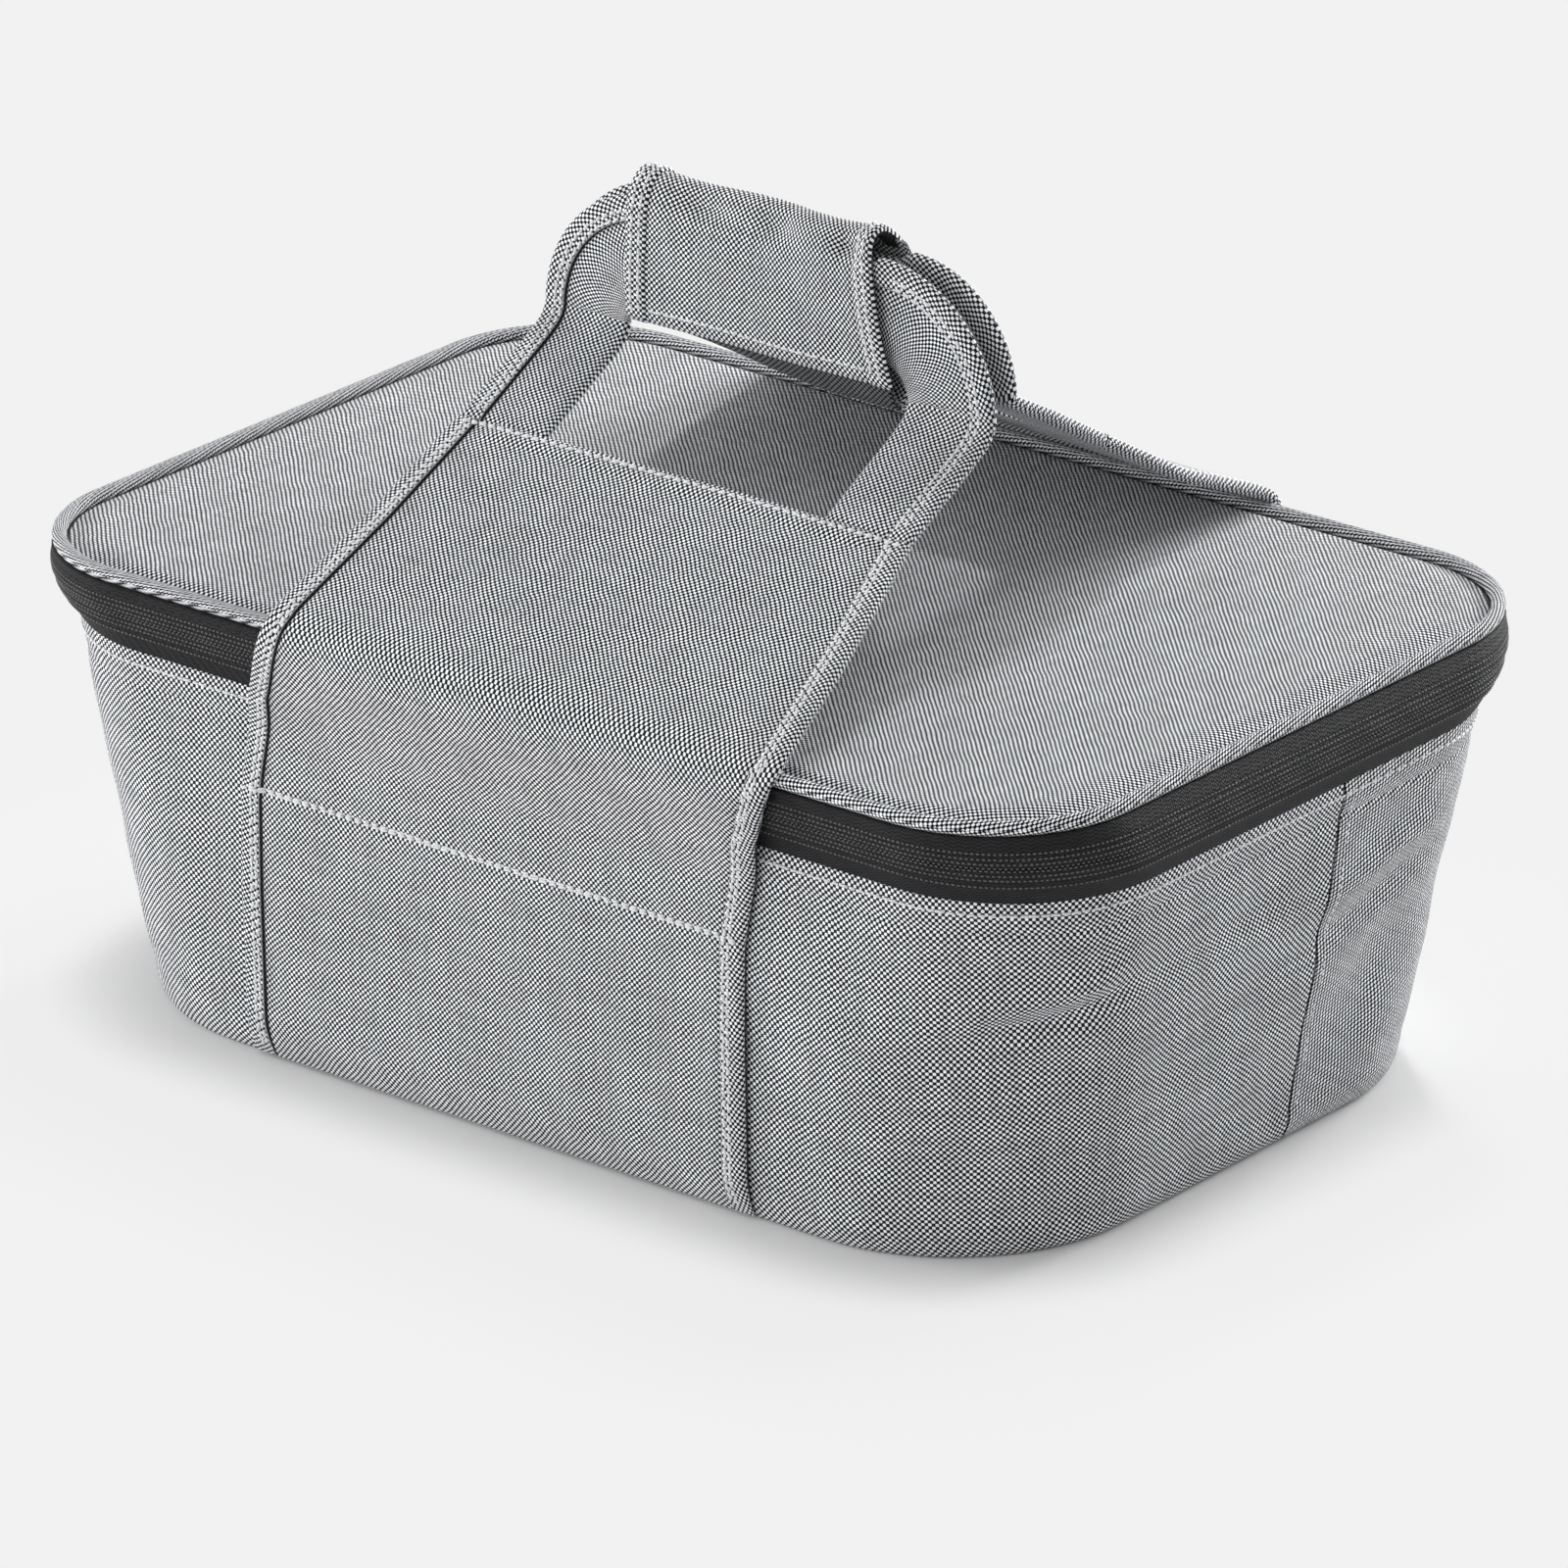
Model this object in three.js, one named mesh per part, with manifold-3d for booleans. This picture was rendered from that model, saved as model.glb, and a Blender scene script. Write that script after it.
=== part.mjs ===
// Insulated carrier bag for a covered casserole, zipped shut, with two straps that meet in one grip.
// Units are mm. +Z is up, +X is the long side, the front strap is on -Y, and z = 0 is the table.
import * as THREE from 'three';
import Module from 'manifold-3d';
import { mergeVertices } from 'three/addons/utils/BufferGeometryUtils.js';

const wasm = await Module();
wasm.setup();

// Clearance between neighbouring pieces, and steps round each corner.
const GAP = 0.3;
const CORNER_STEPS = 8;

// Outer outline of the body: half length, half width and corner radius at three heights.
const BASE = { a: 183, b: 123.3, r: 63, z: 0 };
const FOOT = { a: 188.6, b: 128, r: 70, z: 12 };
const RIM = { a: 207.3, b: 129.5, r: 55, z: 126.5 };

// The zip band stands on the rim and carries the lid.
const BAND_HEIGHT = 24.8;
const BAND_FLARE_A = 0.7;
const BAND_FLARE_B = 10;
const BAND_TOP = {
  a: RIM.a + BAND_FLARE_A,
  b: RIM.b + BAND_FLARE_B,
  r: RIM.r - 3,
  z: RIM.z + BAND_HEIGHT,
};
const BULGE_A = 3.5;
const BULGE_B = 1.2;
const TAPE = 1.6;
const COIL_PROUD = 0.4;
const COIL_DEEP = 2.2;
const COIL_TALL = 1.6;
const COIL_Z = RIM.z + BAND_HEIGHT * 0.57;
const ZIP_END_X = RIM.a * 0.58;

// Layers of the wall and of the floor.
const SKIN = 1.5;
const FOAM = 5;
const LINER = 1.2;
const BASE_SKIN = 1.8;
const BOARD = 2.5;
const BASE_FOAM = 5;
const END_SEAM_Y = 22;
const HINGE_TAPE = 1;

// Lid layers, welt and crown.
const LID_FOAM = 5;
const LID_CROWN = 1.8;
const WELT_R = 2.6;

// Straps: three layers, sewn to the wall up to the cross stitch and free above it.
const FACE = 1.2;
const CORE = 1.2;
const STRAP = FACE + CORE + FACE + 2 * GAP;
const STRAP_FOOT_HALF = 101.6;
const STRAP_TOP_HALF = 90.5;
const CORE_INSET = 9;
const STITCH_Z = RIM.z * 0.75;
const BAND_CLEAR = COIL_PROUD + GAP;

// Handles: legs, arched shoulders and a bar. The two straps drape a little differently.
const LEG_OUT = 90;
const LEG_IN = 56;
const LEG = LEG_OUT - LEG_IN;
const BAR_RISE = 115.7;
const BAR_TOP_Z = BAND_TOP.z + BAR_RISE;
const FRONT_ROUND = 45;
const REAR_ROUND = 40;
const FRONT_FACE = 0.8;
const REAR_FACE = 5.6;
const FRONT_SEAM_OUT = 47.5;
const FRONT_SEAM_RISE = 44.7;
const REAR_SEAM_OUT = 56.8;
const REAR_SEAM_RISE = 48.9;
const FRONT = {
  s: -1,
  face: FRONT_FACE,
  round: FRONT_ROUND,
  seam: [FRONT_SEAM_OUT, BAND_TOP.z + FRONT_SEAM_RISE],
  bend: [[0.237, 0.621], [0.083, 0.769], [0.021, 0.876]],
};
const REAR = {
  s: 1,
  face: REAR_FACE,
  round: REAR_ROUND,
  seam: [REAR_SEAM_OUT, BAND_TOP.z + REAR_SEAM_RISE],
  bend: [[0.195, 0.776], [0.062, 0.896], [0.01, 0.948]],
};

// Grip: a wrap sewn to the rear bar, with a flap that closes over the front bar.
const GRIP_HALF = 47;
const FLAP_HALF = GRIP_HALF + 6;
const GRIP_SKIN = 2.5;
const GRIP_UNDER = 7;
const GRIP_OVER = 8.5;
const GRIP_SHOULDER = 8.5;
const GRIP_LOW_Z = BAR_TOP_Z - LEG - GRIP_UNDER;
const GRIP_TOP_Z = BAR_TOP_Z + GRIP_OVER;
const TOUCH = 0.8;
const TOUCH_HALF = 42;

// Zip sliders and their pulls, parked on the left end.
const SLIDER_Y = 9;
const SLIDER_LONG = 13;
const SLIDER_TALL = 9;
const SLIDER_DEEP = 2.6;
const PIN_R = 1;
const EYE_IN = PIN_R + 0.4;
const EYE_OUT = EYE_IN + 1.1;
const EYE_WIDE = 5;
const LUG_WIDE = 1.6;
const PULL_LONG = 27;
const PULL_WIDE = 7;
const PULL_THICK = 1.6;

const paint = (color, roughness, metalness = 0) =>
  new THREE.MeshStandardMaterial({ color, roughness, metalness });
const CLOTH = paint('#8d8d8d', 0.92);
const PADDING = paint('#e3e1db', 0.95);
const FOIL = paint('#c6cacd', 0.45);
const BLACK_TAPE = paint('#262626', 0.85);
const BLACK_COIL = paint('#1d1d1d', 0.5);
const STIFF = paint('#4d5054', 0.7);
const METAL = paint('#3b3c3e', 0.35, 0.9);

const part = new THREE.Group();
part.name = 'casserole_carrier';

function add(name, geometry, material) {
  const mesh = new THREE.Mesh(geometry, material);
  mesh.name = name;
  part.add(mesh);
}

const mix = (p, q, t) => p + (q - p) * t;

// Outline sizes part of the way from one outline to another.
function between(p, q, t, zt = t) {
  return {
    a: mix(p.a, q.a, t),
    b: mix(p.b, q.b, t),
    r: mix(p.r, q.r, t),
    z: mix(p.z, q.z, zt),
  };
}

// An outline moved inwards by d, at the same height or at height z.
const inset = (o, d, z = o.z) => ({ a: o.a - d, b: o.b - d, r: o.r - d, z });

// The wall rounds over into the base below the foot height and is straight above it.
function wallAt(z) {
  if (z < FOOT.z) {
    const up = z / FOOT.z;
    return { ...between(BASE, FOOT, Math.sqrt(1 - (1 - up) ** 2)), z };
  }
  return between(FOOT, RIM, (z - FOOT.z) / (RIM.z - FOOT.z));
}

// The zip band leans out to the lid and bulges a little on the way.
function bandAt(z) {
  const t = (z - RIM.z) / BAND_HEIGHT;
  const o = between(RIM, BAND_TOP, t);
  const swell = Math.sin(Math.PI * t);
  return { a: o.a + BULGE_A * swell, b: o.b + BULGE_B * swell, r: o.r + BULGE_B * swell, z };
}

// One rounded corner of an outline, from angle `from` through a quarter turn clockwise.
function corner(o, sx, sy, from) {
  const points = [];
  for (let i = 0; i <= CORNER_STEPS; i += 1) {
    const turn = from - (i / CORNER_STEPS) * Math.PI / 2;
    const x = sx * (o.a - o.r) + o.r * Math.cos(turn);
    const y = sy * (o.b - o.r) + o.r * Math.sin(turn);
    points.push(new THREE.Vector3(x, y, o.z));
  }
  return points;
}

const frontCorners = (o) => [...corner(o, 1, -1, 0), ...corner(o, -1, -1, -Math.PI / 2)];
const rearCorners = (o) => [...corner(o, -1, 1, Math.PI), ...corner(o, 1, 1, Math.PI / 2)];
const wholeRing = (o) => [...frontCorners(o), ...rearCorners(o)];
const atEnd = (o, side, y) => new THREE.Vector3(side * o.a, y, o.z);

function frontHalf(o) {
  const y = END_SEAM_Y - GAP / 2;
  return [atEnd(o, 1, y), ...frontCorners(o), atEnd(o, -1, y)];
}

function rearHalf(o) {
  const y = END_SEAM_Y + GAP / 2;
  return [atEnd(o, -1, y), ...rearCorners(o), atEnd(o, 1, y)];
}

// The zip runs from one end of the rear side, round the front, to the other end of the rear side.
function zipRun(o) {
  const left = new THREE.Vector3(-ZIP_END_X, o.b, o.z);
  const right = new THREE.Vector3(ZIP_END_X, o.b, o.z);
  return [right, ...corner(o, 1, 1, Math.PI / 2), ...frontCorners(o), ...corner(o, -1, 1, Math.PI), left];
}

// Triangles that close one end of a skinned solid.
function capTriangles(points) {
  const normal = new THREE.Vector3();
  points.forEach((p, i) => {
    const q = points[(i + 1) % points.length];
    normal.x += (p.y - q.y) * (p.z + q.z);
    normal.y += (p.z - q.z) * (p.x + q.x);
    normal.z += (p.x - q.x) * (p.y + q.y);
  });
  normal.normalize();
  const helper = Math.abs(normal.z) < 0.9 ? new THREE.Vector3(0, 0, 1) : new THREE.Vector3(1, 0, 0);
  const u = helper.clone().cross(normal).normalize();
  const v = normal.clone().cross(u);
  const flat = points.map((p) => new THREE.Vector2(p.dot(u), p.dot(v)));
  return THREE.ShapeUtils.triangulateShape(flat, []);
}

function signedVolume(points, triangles) {
  let sum = 0;
  triangles.forEach(([i, j, k]) => {
    sum += points[i].dot(points[j].clone().cross(points[k]));
  });
  return sum / 6;
}

// A closed solid through a row of closed sections. A closed row joins its last section to its first.
function skin(sections, closed = false) {
  const count = sections[0].length;
  const points = sections.flat();
  const triangles = [];
  const last = closed ? sections.length : sections.length - 1;
  for (let s = 0; s < last; s += 1) {
    const here = s * count;
    const next = ((s + 1) % sections.length) * count;
    for (let i = 0; i < count; i += 1) {
      const j = (i + 1) % count;
      triangles.push([here + i, here + j, next + j]);
      triangles.push([here + i, next + j, next + i]);
    }
  }
  if (!closed) {
    const end = (sections.length - 1) * count;
    capTriangles(sections[0]).forEach(([i, j, k]) => triangles.push([i, k, j]));
    capTriangles(sections.at(-1)).forEach(([i, j, k]) => triangles.push([end + i, end + j, end + k]));
  }
  const outward = signedVolume(points, triangles) > 0;
  const faces = outward ? triangles : triangles.map(([i, j, k]) => [i, k, j]);
  const geometry = new THREE.BufferGeometry().setFromPoints(points);
  geometry.setIndex(faces.flat());
  geometry.computeVertexNormals();
  return geometry;
}

// A band that follows outlines of the body. Each entry of the profile is one outline.
function band(profile, run = wholeRing, closed = true) {
  const rings = profile.map(run);
  return skin(rings[0].map((_, i) => rings.map((ring) => ring[i])), closed);
}

// A wall layer between two depths under the outer surface, from height z0 to height z1.
function wallLayer(outer, inner, z0, z1) {
  const heights = [z0, mix(z0, FOOT.z, 0.4), FOOT.z, z1];
  const out = heights.map((z) => inset(wallAt(z), outer));
  const back = heights.map((z) => inset(wallAt(z), inner)).reverse();
  return [...out, ...back];
}

// A zip band layer between two depths under the outer surface, from height z0 to height z1.
function bandLayer(outer, inner, z0, z1) {
  const heights = [z0, (z0 + z1) / 2, z1];
  const out = heights.map((z) => inset(bandAt(z), outer));
  const back = heights.map((z) => inset(bandAt(z), inner)).reverse();
  return [...out, ...back];
}

// A flat layer that fills an outline between two heights.
const slab = (o, z0, z1) => skin([wholeRing({ ...o, z: z0 }), wholeRing({ ...o, z: z1 })]);

// Depths of the wall layers under the outer surface.
const FOAM_OUT = SKIN + GAP;
const FOAM_IN = FOAM_OUT + FOAM;
const LINER_OUT = FOAM_IN + GAP;
const LINER_IN = LINER_OUT + LINER;
const WALL_LOW = BASE_SKIN + GAP;
const WALL_HIGH = RIM.z - GAP;
const BOARD_Z = BASE_SKIN + GAP;
const BASE_FOAM_Z = BOARD_Z + BOARD + GAP;
const FLOOR_Z = BASE_FOAM_Z + BASE_FOAM + GAP;

function addBase() {
  const sole = wallAt(BASE_SKIN);
  add('base_panel', skin([wholeRing(inset(BASE, GAP)), wholeRing(inset(sole, GAP))]), CLOTH);
  const board = inset(wallAt(BOARD_Z), LINER_OUT);
  add('base_board', slab(board, BOARD_Z, BOARD_Z + BOARD), STIFF);
  const foam = inset(wallAt(BASE_FOAM_Z), LINER_OUT);
  add('base_foam', slab(foam, BASE_FOAM_Z, BASE_FOAM_Z + BASE_FOAM), PADDING);
}

function addWalls() {
  const cloth = wallLayer(0, SKIN, WALL_LOW, WALL_HIGH);
  add('front_wall_panel', band(cloth, frontHalf, false), CLOTH);
  add('rear_wall_panel', band(cloth, rearHalf, false), CLOTH);
  const foam = wallLayer(FOAM_OUT, FOAM_IN, WALL_LOW, WALL_HIGH);
  add('front_wall_foam', band(foam, frontHalf, false), PADDING);
  add('rear_wall_foam', band(foam, rearHalf, false), PADDING);
  const rings = [
    inset(wallAt(FLOOR_Z), LINER_OUT),
    inset(wallAt(FOOT.z), LINER_OUT),
    inset(wallAt(WALL_HIGH), LINER_OUT),
    inset(wallAt(WALL_HIGH), LINER_IN),
    inset(wallAt(FOOT.z + LINER), LINER_IN),
    inset(wallAt(FLOOR_Z + LINER), LINER_IN),
  ];
  add('liner_tub', skin(rings.map(wholeRing)), FOIL);
  const lip = [inset(RIM, TAPE + GAP), inset(RIM, LINER_IN)];
  const over = lip.map((o) => ({ ...o, z: RIM.z + LINER })).reverse();
  add('rim_binding', band([...lip, ...over]), BLACK_TAPE);
}

// Heights of the two rows of the zip.
const CHAIN_LOW = COIL_Z - GAP / 2 - COIL_TALL;
const CHAIN_HIGH = COIL_Z + GAP / 2 + COIL_TALL;

function addZip() {
  add('lower_zip_tape', band(bandLayer(0, TAPE, RIM.z, CHAIN_LOW - GAP)), BLACK_TAPE);
  add('upper_zip_tape', band(bandLayer(0, TAPE, CHAIN_HIGH + GAP, BAND_TOP.z)), BLACK_TAPE);
  const coil = (z) => bandLayer(-COIL_PROUD, COIL_DEEP - COIL_PROUD, z, z + COIL_TALL);
  add('lower_zip_coil', band(coil(CHAIN_LOW), zipRun, false), BLACK_COIL);
  add('upper_zip_coil', band(coil(COIL_Z + GAP / 2), zipRun, false), BLACK_COIL);
  const z0 = RIM.z + LINER + 2 * GAP;
  const z1 = LID_LOW_Z - 2 * GAP;
  const tape = bandLayer(TAPE + GAP, TAPE + GAP + HINGE_TAPE, z0, z1);
  const across = (x) => tape.map((o) => new THREE.Vector3(x, o.b, o.z));
  add('rear_hinge_tape', skin([across(-ZIP_END_X), across(ZIP_END_X)]), CLOTH);
  const y = bandAt(COIL_Z).b - TAPE / 2;
  [['left', -1], ['right', 1]].forEach(([name, side]) => {
    const stop = new THREE.BoxGeometry(3, TAPE, COIL_TALL);
    stop.translate(side * (ZIP_END_X - GAP - 1.5), y, COIL_Z - GAP / 2 - COIL_TALL / 2);
    add(`zip_stop_${name}`, stop, METAL);
  });
}

// Heights of the lid layers: cloth on top, then foam, then liner.
const LID_EDGE_Z = BAND_TOP.z + 2;
const LID_FOAM_Z = LID_EDGE_Z - SKIN - GAP - LID_FOAM;
const LID_LOW_Z = LID_FOAM_Z - GAP - LINER;
const WELT_Z = BAND_TOP.z + GAP + WELT_R;
const WELT_RUN = inset(BAND_TOP, WELT_R - 0.3, WELT_Z);

function addLid() {
  const welt = [];
  for (let i = 0; i < 8; i += 1) {
    const turn = (i / 8) * 2 * Math.PI;
    welt.push(inset(WELT_RUN, WELT_R * Math.cos(turn), WELT_Z + WELT_R * Math.sin(turn)));
  }
  add('lid_piping', band(welt), CLOTH);
  const edge = inset(WELT_RUN, WELT_R + GAP, LID_EDGE_Z);
  const crown = (d, rise) => wholeRing(inset(edge, d, LID_EDGE_Z + rise));
  const low = (d, rise) => wholeRing(inset(edge, d, LID_EDGE_Z + rise - SKIN));
  const top = [crown(0, 0), crown(6, LID_CROWN * 0.7), crown(18, LID_CROWN)];
  add('lid_panel', skin([low(0, 0), ...top]), CLOTH);
  const inside = (z) => wholeRing(inset(bandAt(Math.min(z, BAND_TOP.z)), TAPE + 2 * GAP, z));
  const layer = (z, thick) => skin([inside(z), inside(z + thick)]);
  add('lid_foam', layer(LID_FOAM_Z, LID_FOAM), PADDING);
  add('lid_liner', layer(LID_LOW_Z, LINER), FOIL);
}

// A strap's inner face as [distance from the middle plane, height], in three runs.
const anchorLine = () =>
  [WALL_LOW, FOOT.z * 0.4, FOOT.z].map((z) => [wallAt(z).b + GAP, z]);

function freeLine() {
  const line = [STITCH_Z, RIM.z - 10].map((z) => [wallAt(z).b + GAP, z]);
  [0.25, 0.6, 0.9].forEach((t) => {
    const z = RIM.z + BAND_HEIGHT * t;
    line.push([bandAt(z).b + BAND_CLEAR, z]);
  });
  [0.2, 0.7, 1.15].forEach((turn) => {
    const reach = WELT_R + 2 * GAP;
    line.push([WELT_RUN.b + reach * Math.cos(turn), WELT_Z + reach * Math.sin(turn)]);
  });
  return line;
}

function legLine(side) {
  const centre = BAR_TOP_Z - side.round;
  const bend = side.bend.map(([d, up]) => [mix(side.face, side.seam[0], d), mix(side.seam[1], centre, up)]);
  return [side.seam, ...bend, [side.face, centre]];
}

const step = (p, q) => Math.hypot(q[0] - p[0], q[1] - p[1]);

// Stations with their outward direction and their distance along the line.
function stations(line) {
  let run = 0;
  return line.map((p, i) => {
    const before = line[Math.max(i - 1, 0)];
    const after = line[Math.min(i + 1, line.length - 1)];
    const long = step(before, after);
    run += step(before, p);
    const out = [(after[1] - before[1]) / long, -(after[0] - before[0]) / long];
    return { p, out, run };
  });
}

const lifted = (s, up) => [s.p[0] + s.out[0] * up, s.p[1] + s.out[1] * up];

// A station moved along its line, so that two pieces meet in parallel faces.
const moved = (s, d) => ({ ...s, p: [s.p[0] - s.out[1] * d, s.p[1] + s.out[0] * d] });

// The whole line of a strap, cut at the cross stitch and at the seam under the hand hole.
function strapRuns(side) {
  const low = anchorLine();
  const middle = freeLine();
  const row = stations([...low, ...middle, ...legLine(side)]);
  const stitch = low.length;
  const seam = low.length + middle.length;
  row.at(-1).out = [1, 0];
  const lean = row[seam - 1].run;
  const taper = (s) => Math.max(0, (s.run - lean) / (row[seam].run - lean));
  const half = (s) => ({ ...s, half: mix(STRAP_FOOT_HALF, STRAP_TOP_HALF, taper(s)) });
  const cut = (s, d) => moved(s, d * GAP / 2);
  return {
    anchor: [...row.slice(0, stitch), cut(row[stitch], -1)].map(half),
    strap: [cut(row[stitch], 1), ...row.slice(stitch + 1, seam), cut(row[seam], -1)].map(half),
    legs: [cut(row[seam], 1), ...row.slice(seam + 1)],
  };
}

// One layer of a strap between two heights over its inner face.
function strapLayer(side, row, low, high, trim) {
  return skin(row.map((s) => {
    const half = s.half - trim;
    const [d0, z0] = lifted(s, low);
    const [d1, z1] = lifted(s, high);
    return [
      new THREE.Vector3(-half, side.s * d0, z0),
      new THREE.Vector3(half, side.s * d0, z0),
      new THREE.Vector3(half, side.s * d1, z1),
      new THREE.Vector3(-half, side.s * d1, z1),
    ];
  }));
}

// One layer of a handle: up one leg, round the shoulder, along the bar and down the other leg.
function handleLayer(side, legs, low, high, margin) {
  const centre = BAR_TOP_Z - side.round;
  const hub = LEG_OUT - side.round;
  const half = legs.map((s) => {
    const [d0, z0] = lifted(s, low);
    const [d1, z1] = lifted(s, high);
    return [[LEG_OUT - margin, d0, z0], [LEG_OUT - margin, d1, z1],
      [LEG_IN + margin, d1, z1], [LEG_IN + margin, d0, z0]];
  });
  for (let i = 1; i <= 6; i += 1) {
    const turn = (i / 6) * Math.PI / 2;
    const at = (r, up) => [hub + r * Math.cos(turn), side.face + up, centre + r * Math.sin(turn)];
    const far = side.round - margin;
    const near = side.round - LEG + margin;
    half.push([at(far, low), at(far, high), at(near, high), at(near, low)]);
  }
  const place = (sign) => (section) =>
    section.map(([x, d, z]) => new THREE.Vector3(sign * x, side.s * d, z));
  return skin([...half.map(place(-1)), ...half.map(place(1)).reverse()]);
}

const LAYERS = [
  ['lining', 0, FACE, 0, CLOTH],
  ['core', FACE + GAP, FACE + GAP + CORE, CORE_INSET, PADDING],
  ['face', STRAP - FACE, STRAP, 0, CLOTH],
];

function addStrap(name, side) {
  const { anchor, strap, legs } = strapRuns(side);
  LAYERS.forEach(([layer, from, to, trim, material]) => {
    add(`${name}_anchor_${layer}`, strapLayer(side, anchor, from, to, trim), material);
    add(`${name}_strap_${layer}`, strapLayer(side, strap, from, to, trim), material);
    add(`${name}_handle_${layer}`, handleLayer(side, legs, from, to, trim), material);
  });
}

// A strip of one thickness along a line of [y, z] points, over a half width in X.
function strip(line, thick, half) {
  const row = stations(line);
  const ring = [...row.map((s) => lifted(s, 0)), ...row.map((s) => lifted(s, thick)).reverse()];
  const across = (x) => ring.map(([y, z]) => new THREE.Vector3(x, y, z));
  return skin([across(-half), across(half)]);
}

// Faces of the two bars, front to rear.
const FRONT_OUT = -(FRONT.face + STRAP);
const REAR_OUT = REAR.face + STRAP;

function addGrip() {
  const pad = new THREE.BoxGeometry(2 * TOUCH_HALF, REAR.face + FRONT.face - 2 * GAP, LEG - 2);
  pad.translate(0, (REAR.face - FRONT.face) / 2, BAR_TOP_Z - LEG / 2);
  add('grip_pad', pad, PADDING);
  const back = REAR_OUT + GAP;
  const low = GRIP_LOW_Z + GRIP_SKIN;
  const lip = FRONT_OUT + 2 * TOUCH + GRIP_SKIN + 0.2;
  const barLow = BAR_TOP_Z - LEG;
  const shoulder = GRIP_TOP_Z - GRIP_SHOULDER;
  const wrap = [[lip, barLow - 2 * GAP], [lip, low + 1], [lip + 1.5, low], [back - 4, low],
    [back - 1.2, low + 1.2], [back, low + 4], [back, shoulder - 2 * GAP]];
  add('grip_wrap', strip(wrap.reverse(), -GRIP_SKIN, GRIP_HALF), CLOTH);
  const front = FRONT_OUT - GRIP_SKIN - GAP;
  const deep = back + GRIP_SKIN - front;
  const dome = [[0.05, 0.5], [0.22, 0.12], [0.5, 0], [0.78, 0.12], [0.95, 0.5], [1, 0.85], [1, 1]];
  const crest = dome.map(([y, down]) => [front + deep * y, GRIP_TOP_Z - GRIP_SHOULDER * down]);
  const flap = [[front, GRIP_LOW_Z + GAP], [front, shoulder], ...crest];
  add('grip_flap', strip(flap, GRIP_SKIN, FLAP_HALF), CLOTH);
  const tall = barLow - 2 * GAP - low;
  const touch = (y) => {
    const strip3 = new THREE.BoxGeometry(2 * TOUCH_HALF, TOUCH, tall);
    strip3.translate(0, y + TOUCH / 2, low + tall / 2);
    return strip3;
  };
  add('hook_strip', touch(FRONT_OUT - GAP + 0.2), BLACK_TAPE);
  add('loop_strip', touch(FRONT_OUT + TOUCH - 0.1), BLACK_TAPE);
}

// Solid for adding and cutting, from any closed geometry.
function solid(geometry) {
  const bare = geometry.clone();
  bare.deleteAttribute('normal');
  bare.deleteAttribute('uv');
  const merged = mergeVertices(bare, 1e-4);
  return new wasm.Manifold(new wasm.Mesh({
    numProp: 3,
    vertProperties: new Float32Array(merged.attributes.position.array),
    triVerts: new Uint32Array(merged.index.array),
  }));
}

function plain(manifold) {
  const mesh = manifold.getMesh();
  const geometry = new THREE.BufferGeometry();
  geometry.setAttribute('position', new THREE.BufferAttribute(new Float32Array(mesh.vertProperties), 3));
  geometry.setIndex(Array.from(mesh.triVerts));
  geometry.computeVertexNormals();
  return geometry;
}

const sum = (list) => plain(list.map(solid).reduce((p, q) => p.add(q)));

// A bar along Y, round or ring-shaped, centred at y.
function barY(outer, inner, long, x, y, z) {
  const shape = new THREE.Shape().absarc(0, 0, outer, 0, 2 * Math.PI);
  if (inner > 0) {
    shape.holes.push(new THREE.Path().absarc(0, 0, inner, 0, 2 * Math.PI));
  }
  const bar = new THREE.ExtrudeGeometry(shape, { depth: long, bevelEnabled: false, curveSegments: 12 });
  bar.rotateX(Math.PI / 2);
  return bar.translate(x, y + long / 2, z);
}

function block(dx, dy, dz, x, y, z) {
  return new THREE.BoxGeometry(dx, dy, dz).translate(x, y, z);
}

// The pin of each slider stands clear of the plate, so that the eye of the pull turns on it.
const PLATE_X = -(bandAt(COIL_Z).a + COIL_PROUD + GAP);
const PIN_X = PLATE_X - SLIDER_DEEP - EYE_OUT - GAP;
const PIN_Z = COIL_Z;

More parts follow.
